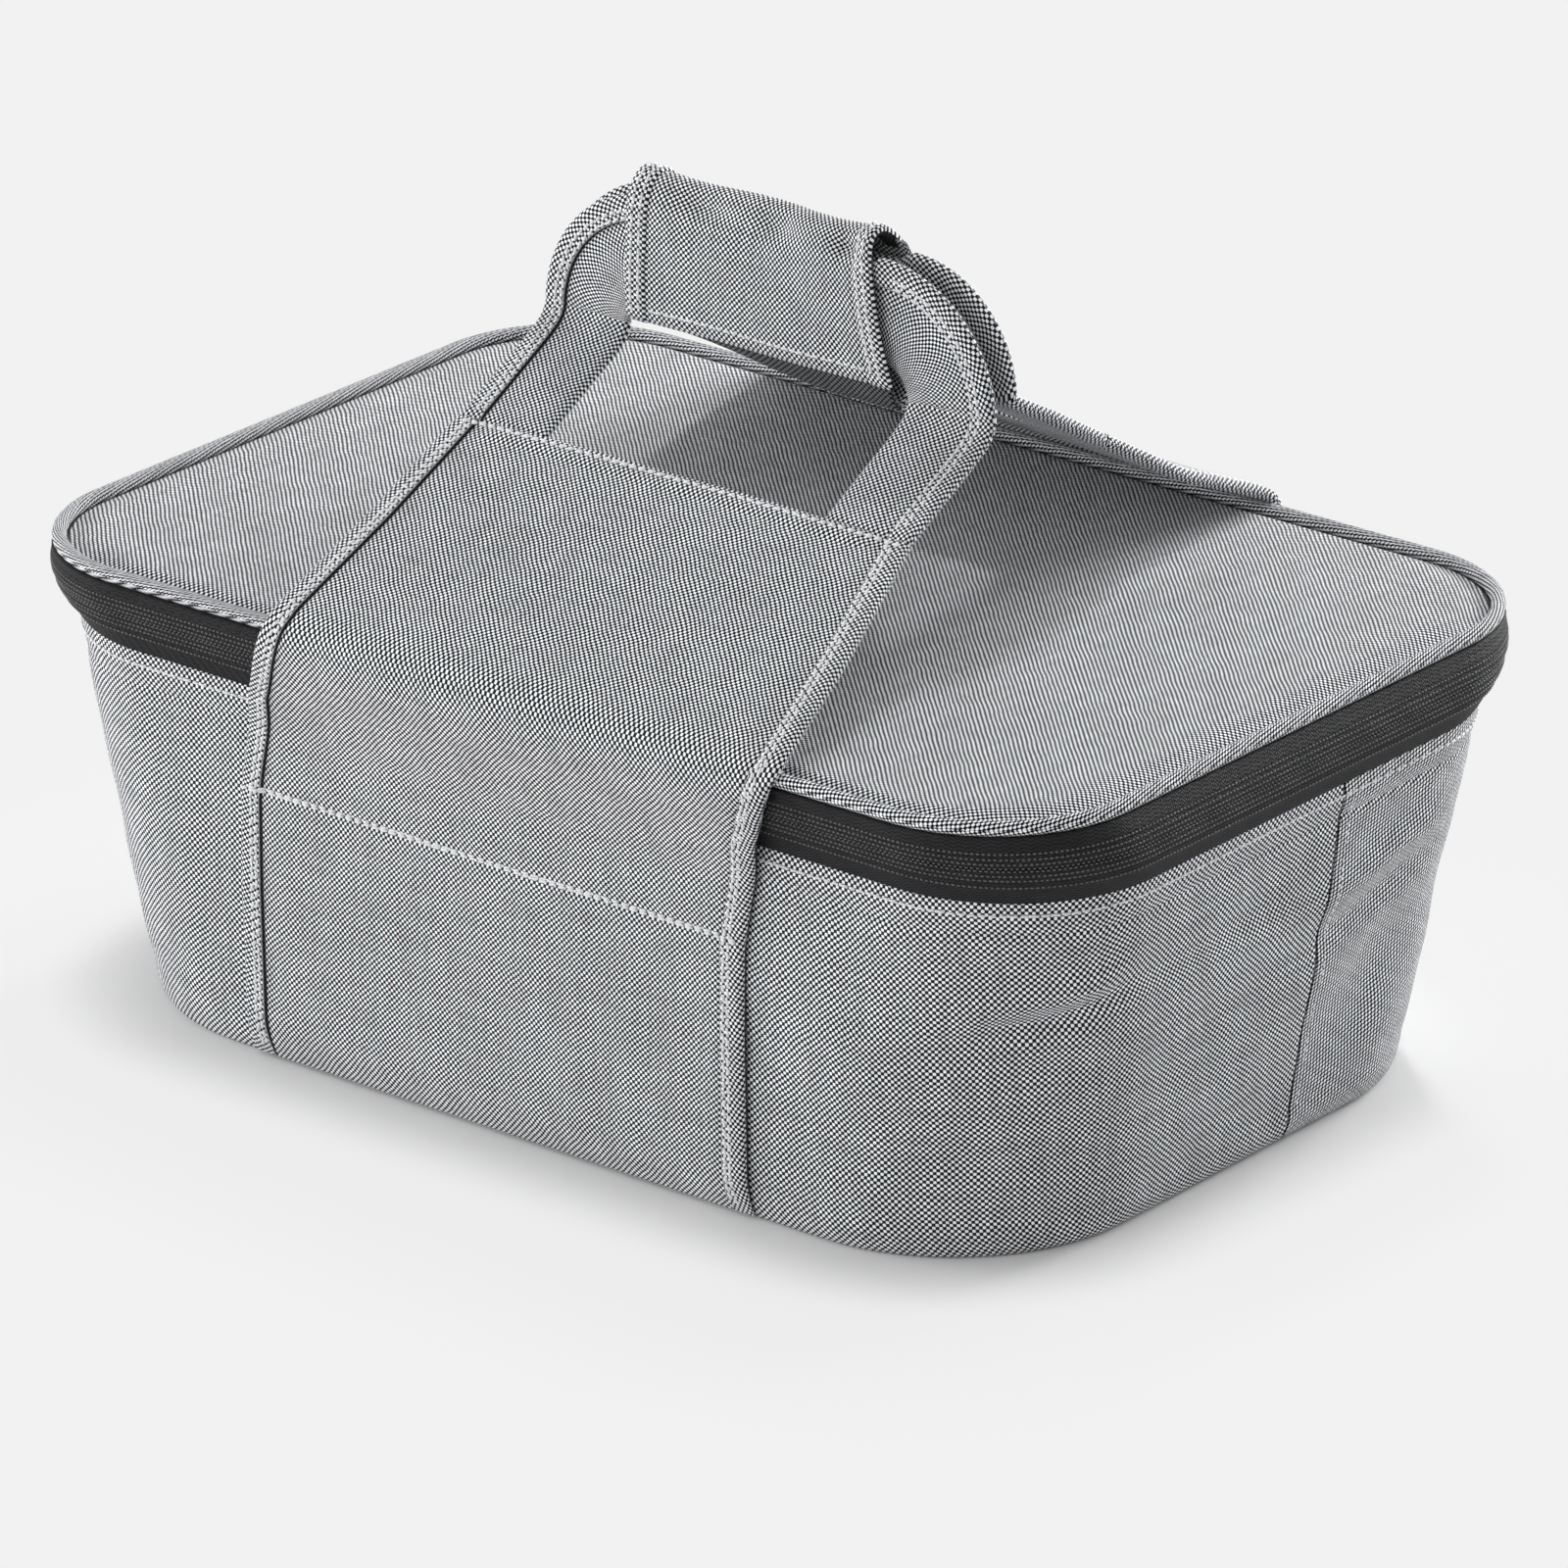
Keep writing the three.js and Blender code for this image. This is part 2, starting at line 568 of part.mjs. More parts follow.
function addSlider(name, side) {
  const y = side * SLIDER_Y;
  const shape = new THREE.Shape();
  const h = SLIDER_TALL / 2;
  const l = SLIDER_LONG / 2;
  shape.moveTo(-l, -h * 0.6);
  shape.quadraticCurveTo(-l * 0.4, -h * 0.7, l * 0.1, -h);
  shape.quadraticCurveTo(l, -h, l, 0);
  shape.quadraticCurveTo(l, h, l * 0.1, h);
  shape.quadraticCurveTo(-l * 0.4, h * 0.7, -l, h * 0.6);
  const plate = new THREE.ExtrudeGeometry(shape, {
    depth: SLIDER_DEEP, bevelEnabled: false, curveSegments: 5,
  });
  const along = new THREE.Vector3(0, side, 0);
  const across = new THREE.Vector3(0, 0, -side);
  plate.applyMatrix4(new THREE.Matrix4().makeBasis(along, across, new THREE.Vector3(-1, 0, 0)));
  plate.translate(PLATE_X, y, COIL_Z);
  const apart = EYE_WIDE / 2 + GAP + LUG_WIDE / 2;
  const reach = SLIDER_DEEP / 2 + EYE_OUT + GAP + PIN_R;
  const lug = (k) => block(reach, LUG_WIDE, 3, PLATE_X - SLIDER_DEEP / 2 - reach / 2, y + k * apart, PIN_Z);
  const pin = barY(PIN_R, 0, 2 * apart, PIN_X, y, PIN_Z);
  add(`${name}_slider`, sum([plate, lug(-1), lug(1), pin]), METAL);
  const eye = barY(EYE_OUT, EYE_IN, EYE_WIDE, PIN_X, y, PIN_Z);
  const neck = block(PULL_THICK, EYE_WIDE, 3, PIN_X, y, PIN_Z - (EYE_IN + EYE_OUT) / 2 - 1.5);
  const tab = block(PULL_THICK, PULL_WIDE, PULL_LONG, PIN_X, y, PIN_Z - EYE_OUT - 2 - PULL_LONG / 2);
  add(`${name}_pull`, sum([eye, neck, tab]), METAL);
}

addBase();
addWalls();
addZip();
addLid();
addStrap('front', FRONT);
addStrap('rear', REAR);
addGrip();
addSlider('front', -1);
addSlider('rear', 1);

export default part;
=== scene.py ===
import math

import bmesh
import bpy
import numpy as np
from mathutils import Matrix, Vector


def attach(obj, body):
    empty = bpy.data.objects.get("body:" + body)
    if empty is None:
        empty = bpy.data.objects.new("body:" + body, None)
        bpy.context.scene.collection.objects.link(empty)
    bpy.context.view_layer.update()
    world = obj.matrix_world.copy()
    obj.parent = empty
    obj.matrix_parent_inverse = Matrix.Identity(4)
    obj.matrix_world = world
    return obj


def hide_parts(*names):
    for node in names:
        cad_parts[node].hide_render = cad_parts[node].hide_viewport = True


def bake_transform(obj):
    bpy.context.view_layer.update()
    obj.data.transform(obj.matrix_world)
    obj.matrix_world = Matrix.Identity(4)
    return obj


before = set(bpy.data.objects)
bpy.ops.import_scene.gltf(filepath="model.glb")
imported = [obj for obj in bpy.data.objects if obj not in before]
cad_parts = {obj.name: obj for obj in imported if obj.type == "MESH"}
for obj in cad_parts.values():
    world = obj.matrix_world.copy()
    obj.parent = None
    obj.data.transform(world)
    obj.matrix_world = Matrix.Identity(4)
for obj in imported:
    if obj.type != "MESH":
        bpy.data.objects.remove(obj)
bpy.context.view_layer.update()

MM = 0.001
QUARTER = math.pi / 2

# Sizes shared with the CAD source. An outline is half length, half width and corner radius.
BASE = (183.0, 123.3, 63.0)
FOOT = (188.6, 128.0, 70.0)
RIM = (207.3, 129.5, 55.0)
BAND = (208.0, 139.5, 52.0)
FOOT_Z = 12.0
RIM_Z = 126.5
BAND_Z = 151.3
SEAM_Y = 22.0
STITCH_Z = 94.875
LEG_OUT = 90.0
BAR_TOP = 267.0
GRIP_HALF = 53.0
ZIP_END_X = 120.2
WALL_THICK = 6.4

# Straps: side of the bag, face of the bar, radius of the handle's shoulder, the seam under the
# hand hole as (distance out, height), the bends above it, and the askew lie at nine runs.
FRONT = dict(name="front", body="front_strap", s=-1, face=0.8, round=45, seam=(47.5, 196),
             bend=((0.237, 0.621), (0.083, 0.769), (0.021, 0.876)),
             shift=(-6, -6.5, -6, 1, 15, 10.5, 3.5, 1.5, 0), tilt=(0,) * 9)
REAR = dict(name="rear", body="rear_strap", s=1, face=5.6, round=40, seam=(56.8, 200.2),
            bend=((0.195, 0.776), (0.062, 0.896), (0.01, 0.948)),
            shift=(0, 0, -2, -6, -9, -6, -2, 0, 0), tilt=(0, 0, 0, 0, -1, -5, -3, -1, 0))


def mix(p, q, t):
    return p + (q - p) * t


def ease(t):
    t = np.clip(t, 0, 1)
    return t * t * (3.0 - 2.0 * t)


def rounded(t):
    """Quarter circle from 0 to 1, for rounded edges."""
    return np.sqrt(np.clip(1 - (1 - np.clip(t, 0, 1)) ** 2, 0, 1))


def bell(t):
    return np.exp(-t ** 2)


def unit(v):
    return v / np.linalg.norm(v, axis=-1, keepdims=True)


def spread(*parts):
    """Stacks coordinates of different shapes into one grid of points."""
    return np.stack(np.broadcast_arrays(*parts), -1)


def twist(u, v, angle):
    c, s = math.cos(angle), math.sin(angle)
    return np.stack([u * c - v * s, u * s + v * c], -1)


def linked(name, data):
    obj = bpy.data.objects.new(name, data)
    bpy.context.collection.objects.link(obj)
    return obj


# Camera, fitted to the photograph

PHOTO_PX, FOCAL_PX, CENTRE_PX = 1600.0, 11669.5, (789.0, 798.4)
SENSOR = 36.0
AZIMUTH, ELEVATION = math.radians(39.08), math.radians(22.28)
RANGE_M, AIM_M = 3.62, (0.0, 0.0, 0.080)


def add_camera():
    data = bpy.data.cameras.new("photo_camera")
    data.sensor_width = SENSOR
    data.lens = FOCAL_PX * SENSOR / PHOTO_PX
    data.clip_start, data.clip_end = 0.05, 60.0
    data.shift_x = (PHOTO_PX / 2 - CENTRE_PX[0]) / PHOTO_PX
    data.shift_y = (CENTRE_PX[1] - PHOTO_PX / 2) / PHOTO_PX
    cam = linked("photo_camera", data)
    level = math.cos(ELEVATION)
    back = Vector((math.sin(AZIMUTH) * level, -math.cos(AZIMUTH) * level, math.sin(ELEVATION)))
    cam.location = Vector(AIM_M) + back * RANGE_M
    cam.rotation_euler = (-back).to_track_quat("-Z", "Y").to_euler()
    bpy.context.scene.camera = cam


# Node materials

class Graph:
    """Nodes of a new material or world. A value that isn't a socket is set on the input itself."""

    def __init__(self, name, blocks=bpy.data.materials):
        self.block = blocks.new(name)
        self.block.use_nodes = True
        self.tree = self.block.node_tree

    def put(self, socket, value):
        if isinstance(value, bpy.types.NodeSocket):
            self.tree.links.new(value, socket)
        else:
            socket.default_value = value

    def fill(self, n, **named):
        for key, value in named.items():
            self.put(n.inputs[key.replace("_", " ")], value)
        return n

    def node(self, kind, *first, **named):
        """New node with its first inputs in order and others by name."""
        n = self.tree.nodes.new(kind)
        for socket, value in zip(n.inputs, first):
            self.put(socket, value)
        return self.fill(n, **named)

    def surface(self, **named):
        self.fill(self.tree.nodes["Principled BSDF"], **named)
        return self.block

    def seen(self, shader, backdrop, share=None):
        """Shows the backdrop to rays from the camera, from a gloss or through glass."""
        path = self.node("ShaderNodeLightPath").outputs
        rays = self.math("MAXIMUM", path["Is Camera Ray"], path["Is Glossy Ray"])
        rays = self.math("MAXIMUM", rays, path["Is Transmission Ray"])
        rays = rays if share is None else self.math("MULTIPLY", share, rays)
        both = self.node("ShaderNodeMixShader", rays, shader.outputs[0], backdrop.outputs[0])
        self.fill(self.tree.get_output_node("ALL"), Surface=both.outputs[0])
        return self.block

    def math(self, op, a, b=0.0):
        n = self.node("ShaderNodeMath", a, b)
        n.operation = op
        return n.outputs[0]

    def wave(self, value, turn):
        return self.math("SINE", self.math("MULTIPLY", value, turn))

    def span(self, value, low, high, to_low, to_high, soft=False):
        n = self.node("ShaderNodeMapRange", Value=value, From_Min=low, From_Max=high,
                      To_Min=to_low, To_Max=to_high)
        n.interpolation_type = "SMOOTHSTEP" if soft else "LINEAR"
        return n.outputs[0]

    def noise(self, at, scale, detail=2.0):
        n = self.node("ShaderNodeTexNoise", Vector=at, Scale=scale, Detail=detail)
        return n.outputs["Fac"]

    def mottle(self, at, scale, low, high, detail=2.0):
        """Noise spread over a range of values."""
        return self.span(self.noise(at, scale, detail), 0.3, 0.7, low, high)

    def blend(self, factor, a, b):
        """Mix of two colours."""
        n = self.node("ShaderNodeMix", factor)
        n.data_type = "RGBA"
        n.inputs[6].default_value, n.inputs[7].default_value = (*a, 1), (*b, 1)
        return n.outputs[2]

    def scaled(self, colour, value):
        n = self.node("ShaderNodeVectorMath")
        n.operation = "SCALE"
        return self.fill(n, Vector=colour, Scale=value).outputs[0]

    def stretched(self, vector, along_u, along_v):
        n = self.node("ShaderNodeVectorMath", vector, (along_u, along_v, 1.0))
        n.operation = "MULTIPLY"
        return n.outputs[0]

    def bump(self, height, strength, distance, below=None):
        n = self.node("ShaderNodeBump", Height=height, Strength=strength, Distance=distance)
        if below is not None:
            self.put(n.inputs["Normal"], below)
        return n.outputs[0]

    def uv(self):
        return self.node("ShaderNodeUVMap").outputs[0]

    def place(self):
        return self.node("ShaderNodeTexCoord").outputs["Object"]

    def axes(self, vector):
        n = self.node("ShaderNodeSeparateXYZ", vector)
        return n.outputs[0], n.outputs[1]


WEAVE_PITCH, WEAVE_WANDER, SLUB_LONG = 0.00099, 0.0003, 45.0
TAPE_PITCH, TAPE_ZIG = 0.0007, 0.0016
PLY_PITCH = 0.0004


def woven(name, dark, light):
    """Plain weave: dark threads one way and light threads the other."""
    g = Graph(name)
    uv = g.uv()
    turn, across = math.pi / WEAVE_PITCH, 0.5 / WEAVE_PITCH
    a, b = (g.wave(g.math("ADD", axis, g.span(g.noise(uv, scale), 0.25, 0.75,
                                              -WEAVE_WANDER, WEAVE_WANDER)), turn)
            for axis, scale in zip(g.axes(uv), (70.0, 95.0)))
    cell = g.math("MULTIPLY", a, b)
    over = g.span(cell, 0.0, 0.16, 0.0, 1.0, soft=True)
    warp, weft = (g.mottle(g.stretched(uv, *way), 1.0, 0.87, 1.07, 1.0)
                  for way in ((across, SLUB_LONG), (SLUB_LONG, across)))
    cloud = g.mottle(uv, 22.0, 0.97, 1.05, 3.0)
    tone = g.math("MULTIPLY", g.math("MULTIPLY", warp, weft), cloud)
    thread = g.math("POWER", g.math("ABSOLUTE", cell), 0.6)
    fuzz = g.bump(g.noise(uv, 2600.0), 0.25, 0.00015)
    return g.surface(Base_Color=g.scaled(g.blend(over, dark, light), tone),
                     Normal=g.bump(thread, 0.45, 0.00028, fuzz),
                     Roughness=g.mottle(uv, 300.0, 0.83, 0.94),
                     Sheen_Weight=0.03, Specular_IOR_Level=0.12)


def tape(name, dark, light):
    """Black woven tape: fine herringbone ridges with lighter, glossier high points."""
    g = Graph(name)
    uv = g.uv()
    u, v = g.axes(uv)
    turn = math.pi / TAPE_PITCH
    zig = g.math("MULTIPLY", g.math("PINGPONG", u, TAPE_ZIG), 0.6)
    rib = g.wave(g.math("ADD", v, zig), turn)
    high = g.span(g.math("MULTIPLY", rib, g.wave(u, turn * 0.8)), -0.6, 0.9, 0.0, 1.0, soft=True)
    worn = g.mottle(uv, 160.0, 0.75, 1.25, 3.0)
    return g.surface(Base_Color=g.scaled(g.blend(high, dark, light), worn),
                     Normal=g.bump(high, 0.7, 0.00025),
                     Roughness=g.span(high, 0.0, 1.0, 0.74, 0.54), Specular_IOR_Level=0.2)


def grained(name, colour, shade, rough, scale, depth, metal=0.0):
    """Plain material with a fine grain in colour, roughness and bump."""
    g = Graph(name)
    at = g.place()
    grain = g.noise(at, scale, 4.0)
    return g.surface(Base_Color=g.blend(g.span(grain, 0.3, 0.7, 0.0, 1.0), shade, colour),
                     Roughness=g.mottle(at, scale * 0.4, rough - 0.08, rough + 0.08),
                     Normal=g.bump(grain, 0.5, depth), Metallic=metal)


def film(name, shade, colour):
    """Silvery insulating film with fine wrinkles."""
    g = Graph(name)
    at = g.place()
    wrinkle = g.noise(at, 34.0, 5.0)
    crease = g.node("ShaderNodeTexVoronoi", Vector=at, Scale=44.0)
    crease.feature = "DISTANCE_TO_EDGE"
    fold = g.span(crease.outputs["Distance"], 0.0, 0.12, 0.0, 1.0, soft=True)
    return g.surface(Base_Color=g.blend(g.span(wrinkle, 0.3, 0.7, 0.0, 1.0), shade, colour),
                     Roughness=g.span(wrinkle, 0.3, 0.7, 0.42, 0.58),
                     Normal=g.bump(fold, 0.12, 0.0005, g.bump(wrinkle, 0.45, 0.0012)),
                     Metallic=0.45)


def twisted(name, colour, shade):
    """Sewing thread: two plies twisted round each other."""
    g = Graph(name)
    ply = g.wave(g.math("ADD", *g.axes(g.uv())), math.pi / PLY_PITCH)
    tone = g.span(ply, -1.0, 1.0, 0.0, 1.0, soft=True)
    return g.surface(Base_Color=g.blend(tone, shade, colour), Normal=g.bump(tone, 0.5, 0.0001),
                     Roughness=0.6)


CLOTH = woven("heather_weave", (0.010, 0.0105, 0.012), (0.955, 0.97, 1.0))
# Near-black cloth as painted shade: hem grooves, strap undersides on the wall, the grip cover's
# ends and the lid's edge.
PAINTED_SHADE_CLOTH = woven("seam_shadow_cloth", (0.012, 0.012, 0.013), (0.05, 0.05, 0.052))
# Mid-dark cloth as painted shade: the grip roll's lip under the flap and the wall seams.
PAINTED_SHADE_WEAVE = woven("painted_shade_weave", (0.010, 0.0105, 0.012), (0.20, 0.205, 0.215))
TAPE = tape("black_zip_tape", (0.005, 0.005, 0.006), (0.024, 0.024, 0.026))
# Coil teeth: black nylon, painted paler for its sheen.
COIL_PAINTED_SHEEN = grained("black_coil_painted_sheen", (0.12, 0.12, 0.124), (0.06, 0.06, 0.063), 0.42, 900.0, 0.0001)
FILM = film("silver_film", (0.30, 0.31, 0.325), (0.42, 0.435, 0.45))
FOAM = grained("white_foam", (0.80, 0.79, 0.76), (0.68, 0.67, 0.64), 0.92, 420.0, 0.0006)
PAD = grained("grey_padding", (0.20, 0.20, 0.205), (0.14, 0.14, 0.145), 0.92, 420.0, 0.0006)
BOARD = grained("grey_board", (0.17, 0.175, 0.18), (0.11, 0.112, 0.118), 0.72, 240.0, 0.0003)
METAL = grained("dark_metal", (0.16, 0.16, 0.165), (0.09, 0.09, 0.095), 0.34, 160.0, 0.0001,
                metal=0.9)
THREAD = twisted("pale_thread", (0.92, 0.92, 0.93), (0.66, 0.66, 0.68))
HOOKS = grained("hook_and_loop", (0.035, 0.035, 0.037), (0.008, 0.008, 0.009), 0.9, 1400.0, 0.0012)


# Mesh building

def smooth_object(name, mesh, sharp=None):
    mesh.polygons.foreach_set("use_smooth", np.ones(len(mesh.polygons), bool))
    if sharp is not None:
        mesh.set_sharp_from_angle(angle=math.radians(sharp))
    mesh.update()
    return linked(name, mesh)


class Shell:
    """Collects grids of points with corner UVs and turns them into one welded mesh."""

    def __init__(self):
        self.points, self.faces, self.uvs, self.mats = [], [], [], []
        self.count = 0

    def grid(self, p, uv, mat=0):
        n, m = p.shape[:2]
        index = np.arange(n * m).reshape(n, m) + self.count
        i, j = np.meshgrid(np.arange(n - 1), np.arange(m - 1), indexing="ij")
        corners = ((i, j), (i + 1, j), (i + 1, j + 1), (i, j + 1))
        self.faces.append(np.stack([index[c] for c in corners], -1).reshape(-1, 4))
        self.uvs.append(np.stack([uv[c] for c in corners], 2).reshape(-1, 2))
        self.mats.append(np.broadcast_to(np.asarray(mat), (n - 1, m - 1)).reshape(-1))
        self.points.append(p.reshape(-1, 3))
        self.count += n * m

    def ring(self, p, uv_of, mat=0, flip=False):
        """Grid closed round its first axis; flip turns it the other way out."""
        way = slice(None, None, -1 if flip else None)
        self.grid(close_ring(p)[:, way], uv_of(p)[:, way], mat)

    def make(self, name, materials, sharp=55.0):
        mesh = bpy.data.meshes.new(name)
        mesh.from_pydata((np.concatenate(self.points) * MM).tolist(), [],
                         np.concatenate(self.faces).tolist())
        mesh.polygons.foreach_set("material_index", np.concatenate(self.mats).astype(np.int32))
        layer = mesh.uv_layers.new(name="UVMap")
        layer.data.foreach_set("uv", (np.concatenate(self.uvs) * MM).astype(np.float32).ravel())
        for m in materials:
            mesh.materials.append(m)
        bm = bmesh.new()
        bm.from_mesh(mesh)
        bmesh.ops.remove_doubles(bm, verts=bm.verts, dist=2e-6)
        bmesh.ops.dissolve_degenerate(bm, edges=bm.edges, dist=1e-7)
        bmesh.ops.recalc_face_normals(bm, faces=bm.faces)
        bm.to_mesh(mesh)
        bm.free()
        return smooth_object(name, mesh, sharp)


def slab(face, rear, uv, name, mats, face_mat=0, rear_mat=0, end_mat=0, deep=3, sharp=60.0):
    """Closed piece from a front grid and a rear grid of the same shape."""
    shell = Shell()
    shell.grid(face, uv, face_mat)
    shell.grid(rear[:, ::-1], uv[:, ::-1], rear_mat)
    for row in (0, -1):
        shell.grid(np.stack([face[:, row], rear[:, row]], 1),
                   np.stack([uv[:, row], uv[:, row] + (0, deep)], 1))
        shell.grid(np.stack([face[row], rear[row]], 1),
                   np.stack([uv[row], uv[row] + (deep, 0)], 1), end_mat)
    return shell.make(name, mats, sharp)


def run_of(p):
    """Running length along the first axis of a row or grid of points."""
    d = np.linalg.norm(np.diff(p, axis=0), axis=-1)
    return np.concatenate([np.zeros((1,) + d.shape[1:]), np.cumsum(d, axis=0)])


def run_across(p):
    """Running length along the second axis of a grid."""
    return run_of(np.swapaxes(p, 0, 1)).T


def sample(values, run, at):
    """Rows of values read off at other runs."""
    return np.stack([np.interp(at, run, column) for column in values.T], 1)


def resample(line, step):
    line = np.asarray(line, float)
    run = run_of(line)
    n = max(2, int(round(run[-1] / step)) + 1)
    return sample(line, run, np.linspace(0.0, run[-1], n))


FINE = 0.5


def soften(line, step, reach):
    """Rounds the bends of a polyline over about reach mm and spaces it evenly."""
    fine = resample(line, FINE)
    k = int(reach / FINE) * 3
    w = np.exp(-0.5 * (np.arange(-k, k + 1) * FINE / reach) ** 2)
    w /= w.sum()
    before = 2 * fine[0] - fine[1:k + 1][::-1]
    after = 2 * fine[-1] - fine[-k - 1:-1][::-1]
    padded = np.concatenate([before, fine, after])
    return resample(np.stack([np.convolve(c, w, "valid") for c in padded.T], 1), step)


# Stitches and teeth

class Beads:
    """Many small rounded stitches or teeth in one mesh."""

    def __init__(self):
        self.points = []
        ring = np.linspace(0, 2 * math.pi, 6, endpoint=False)
        rows = ((-1.0, 0.25), (-0.8, 0.8), (0.0, 1.0), (0.8, 0.8), (1.0, 0.25))
        self.form = np.array([(t, r * math.cos(a), r * math.sin(a)) for t, r in rows for a in ring])
        turns = [(k, (k + 1) % 6) for k in range(6)]
        self.quads = np.array([(6 * i + k, 6 * i + q, 6 * i + 6 + q, 6 * i + 6 + k)
                               for i in range(4) for k, q in turns])
        self.caps = np.array([[0, 5, 4, 3, 2, 1], [24, 25, 26, 27, 28, 29]])

    def row(self, line, normal, pitch, long, wide, high, tilt=0.0, skip=0.5):
        """Sews along a line; tilt turns each stitch and skip sets where the first one lies."""
        run = run_of(line)
        at = np.arange(pitch * skip, run[-1] - pitch * 0.4, pitch)
        p, n = sample(line, run, at), sample(normal, run, at)
        t = unit(sample(line, run, at + 0.4) - sample(line, run, at - 0.4))
        n = unit(n - t * np.sum(n * t, 1, keepdims=True))
        b = np.cross(n, t)
        c, s = math.cos(tilt), math.sin(tilt)
        t, b = t * c + b * s, b * c - t * s
        for k in range(len(at)):
            uneven = 1.0 + 0.12 * math.sin(k * 12.9898)
            f = self.form * (long * uneven, wide, high)
            self.points.append(p[k] + f[:, :1] * t[k] + f[:, 1:2] * b[k] + f[:, 2:] * n[k])

    def make(self, name, mat):
        mesh = bpy.data.meshes.new(name)
        count = len(self.points)
        first = (np.arange(count) * len(self.form))[:, None, None]
        faces = [f for part in (self.quads, self.caps)
                 for f in (part + first).reshape(-1, part.shape[1]).tolist()]
        mesh.from_pydata((np.concatenate(self.points) * MM).tolist(), [], faces)
        layer = mesh.uv_layers.new(name="UVMap")
        corners = np.zeros(len(mesh.loops), np.int32)
        mesh.loops.foreach_get("vertex_index", corners)
        form = np.tile(self.form[:, :2], (count, 1)) * MM
        layer.data.foreach_set("uv", form[corners].astype(np.float32).ravel())
        mesh.materials.append(mat)
        return smooth_object(name, mesh)


# Body outlines

STRAIGHT, CORNER, SIDE_A, SIDE_B = 22, 22, 16, 10


def outline(o, inset=0.0):
    """Rounded outline seen from above, counter-clockwise from the middle of the front."""
    a, b, r = (float(v) - inset for v in o)
    r = max(r, 2.0)
    x, y, seam = a - r, b - r, min(SEAM_Y, b - r - 1.0)
    arc = np.linspace(0.0, QUARTER, CORNER, endpoint=False)

    def line(p, q, n):
        t = np.linspace(0.0, 1.0, n, endpoint=False)[:, None]
        return np.array(p) * (1 - t) + np.array(q) * t

    def turn(cx, cy, quarters):
        at = quarters * QUARTER + arc
        return np.stack([cx + r * np.cos(at), cy + r * np.sin(at)], 1)

    return np.concatenate([
        line((0, -b), (x, -b), STRAIGHT), turn(x, -y, -1),
        line((a, -y), (a, seam), SIDE_A), line((a, seam), (a, y), SIDE_B), turn(x, y, 0),
        line((x, b), (-x, b), 2 * STRAIGHT), turn(-x, y, 1),
        line((-a, y), (-a, seam), SIDE_B), line((-a, seam), (-a, -y), SIDE_A), turn(-x, -y, 2),
        line((-x, -b), (0, -b), STRAIGHT)])


COUNT = len(outline(RIM))
SEAM_R = STRAIGHT + CORNER + SIDE_A
SEAM_L = COUNT - SEAM_R


def wall_at(z):
    if z < FOOT_Z:
        return tuple(mix(p, q, rounded(z / FOOT_Z)) for p, q in zip(BASE, FOOT))
    t = (z - FOOT_Z) / (RIM_Z - FOOT_Z)
    return tuple(mix(p, q, t) for p, q in zip(FOOT, RIM))


def band_at(z):
    t = (z - RIM_Z) / (BAND_Z - RIM_Z)
    swell = math.sin(math.pi * min(max(t, 0.0), 1.0))
    return tuple(mix(p, q, t) + more * swell for p, q, more in zip(RIM, BAND, (3.5, 1.2, 1.2)))


def level(o, z, inset=0.0):
    """Ring of points: an outline at one height."""
    return np.concatenate([outline(o, inset), np.full((COUNT, 1), z)], 1)


def rings(levels, at, insets):
    """Grid of points: first axis round the outline, second axis up the levels."""
    return np.stack([level(at(z), z, inset) for z, inset in zip(levels, insets)], 1)


def outward(p):
    """Unit normals in plan of a closed ring grid."""
    t = np.roll(p, -1, 0) - np.roll(p, 1, 0)
    return unit(spread(t[..., 1], -t[..., 0], 0.0))


def close_ring(p):
    return np.concatenate([p, p[:1]])


def ring_uv(p):
    """UVs of a closed ring grid: run round the outline and run up the profile."""
    return np.stack([run_of(close_ring(p)), close_ring(run_across(p))], -1)


def plan_uv(p):
    return close_ring(p)[..., :2]


SCALES = (1, 0.992, 0.98, 0.965, 0.945, 0.92, 0.88, 0.82, 0.74, 0.64, 0.52, 0.40, 0.28, 0.16,
          0.06, 0)


def disc(edge, z_of, scales=SCALES):
    """Closes a ring into a cap by scaling it to its middle; z_of gives the height by scale."""
    rows = []
    for s in scales:
        p = edge.copy()
        p[:, :2] *= s
        p[:, 2] = z_of(p, s)
        rows.append(p)
    return np.stack(rows, 1)


def ring_tube(profile, at, name, mats, angle=0.0):
    """Closed ring whose cross-section is a loop of (outset, z); angle turns the weave."""
    p = np.stack([level(at(z), z, -out) for out, z in [*profile, profile[0]]], 1)
    shell = Shell()
    shell.ring(p, lambda p: twist(*np.moveaxis(ring_uv(p), -1, 0), angle))
    return shell.make(name, mats, sharp=70.0)


# Tub

CREASES = (
    # centre, direction, half length, half width, depth
    ((191, -99, 84), (0.62, 0.75, 0.2), 34, 5, -3.6),
    ((193, -97, 92.5), (0.62, 0.75, 0.2), 34, 5.5, 2.3),
    ((186, -106, 66), (0.2, 0.3, -0.93), 26, 13, -2.2),
    ((201, 54, 92), (0, 0.97, 0.2), 30, 6.5, 2.4),
    ((200, 54, 79), (0, 0.97, 0.2), 34, 6.5, -3.2),
    ((196, 62, 56), (0, 0.85, 0.5), 32, 20, -4),
    ((203, -10, 100), (0, 0.9, 0.4), 30, 9, -1.4),
    ((-196, -60, 70), (0, -0.6, 0.7), 24, 9, -1.8),
    ((-199, 20, 60), (0, 0.8, 0.5), 26, 10, -1.6),
    ((150, 128, 70), (-0.7, 0, 0.7), 26, 9, -1.8),
    ((-160, 128, 60), (0.7, 0, 0.6), 28, 9, -1.8),
    ((140, -127, 40), (0.8, 0, 0.4), 26, 9, -1),
)
HEM_RIDGE_Z, HEM_GROOVE_Z = 121.0, 115.2
FLOOR_Z, FLOOR_UNDER_Z, LINER_TOP_Z = 11.45, 10.25, 126.0


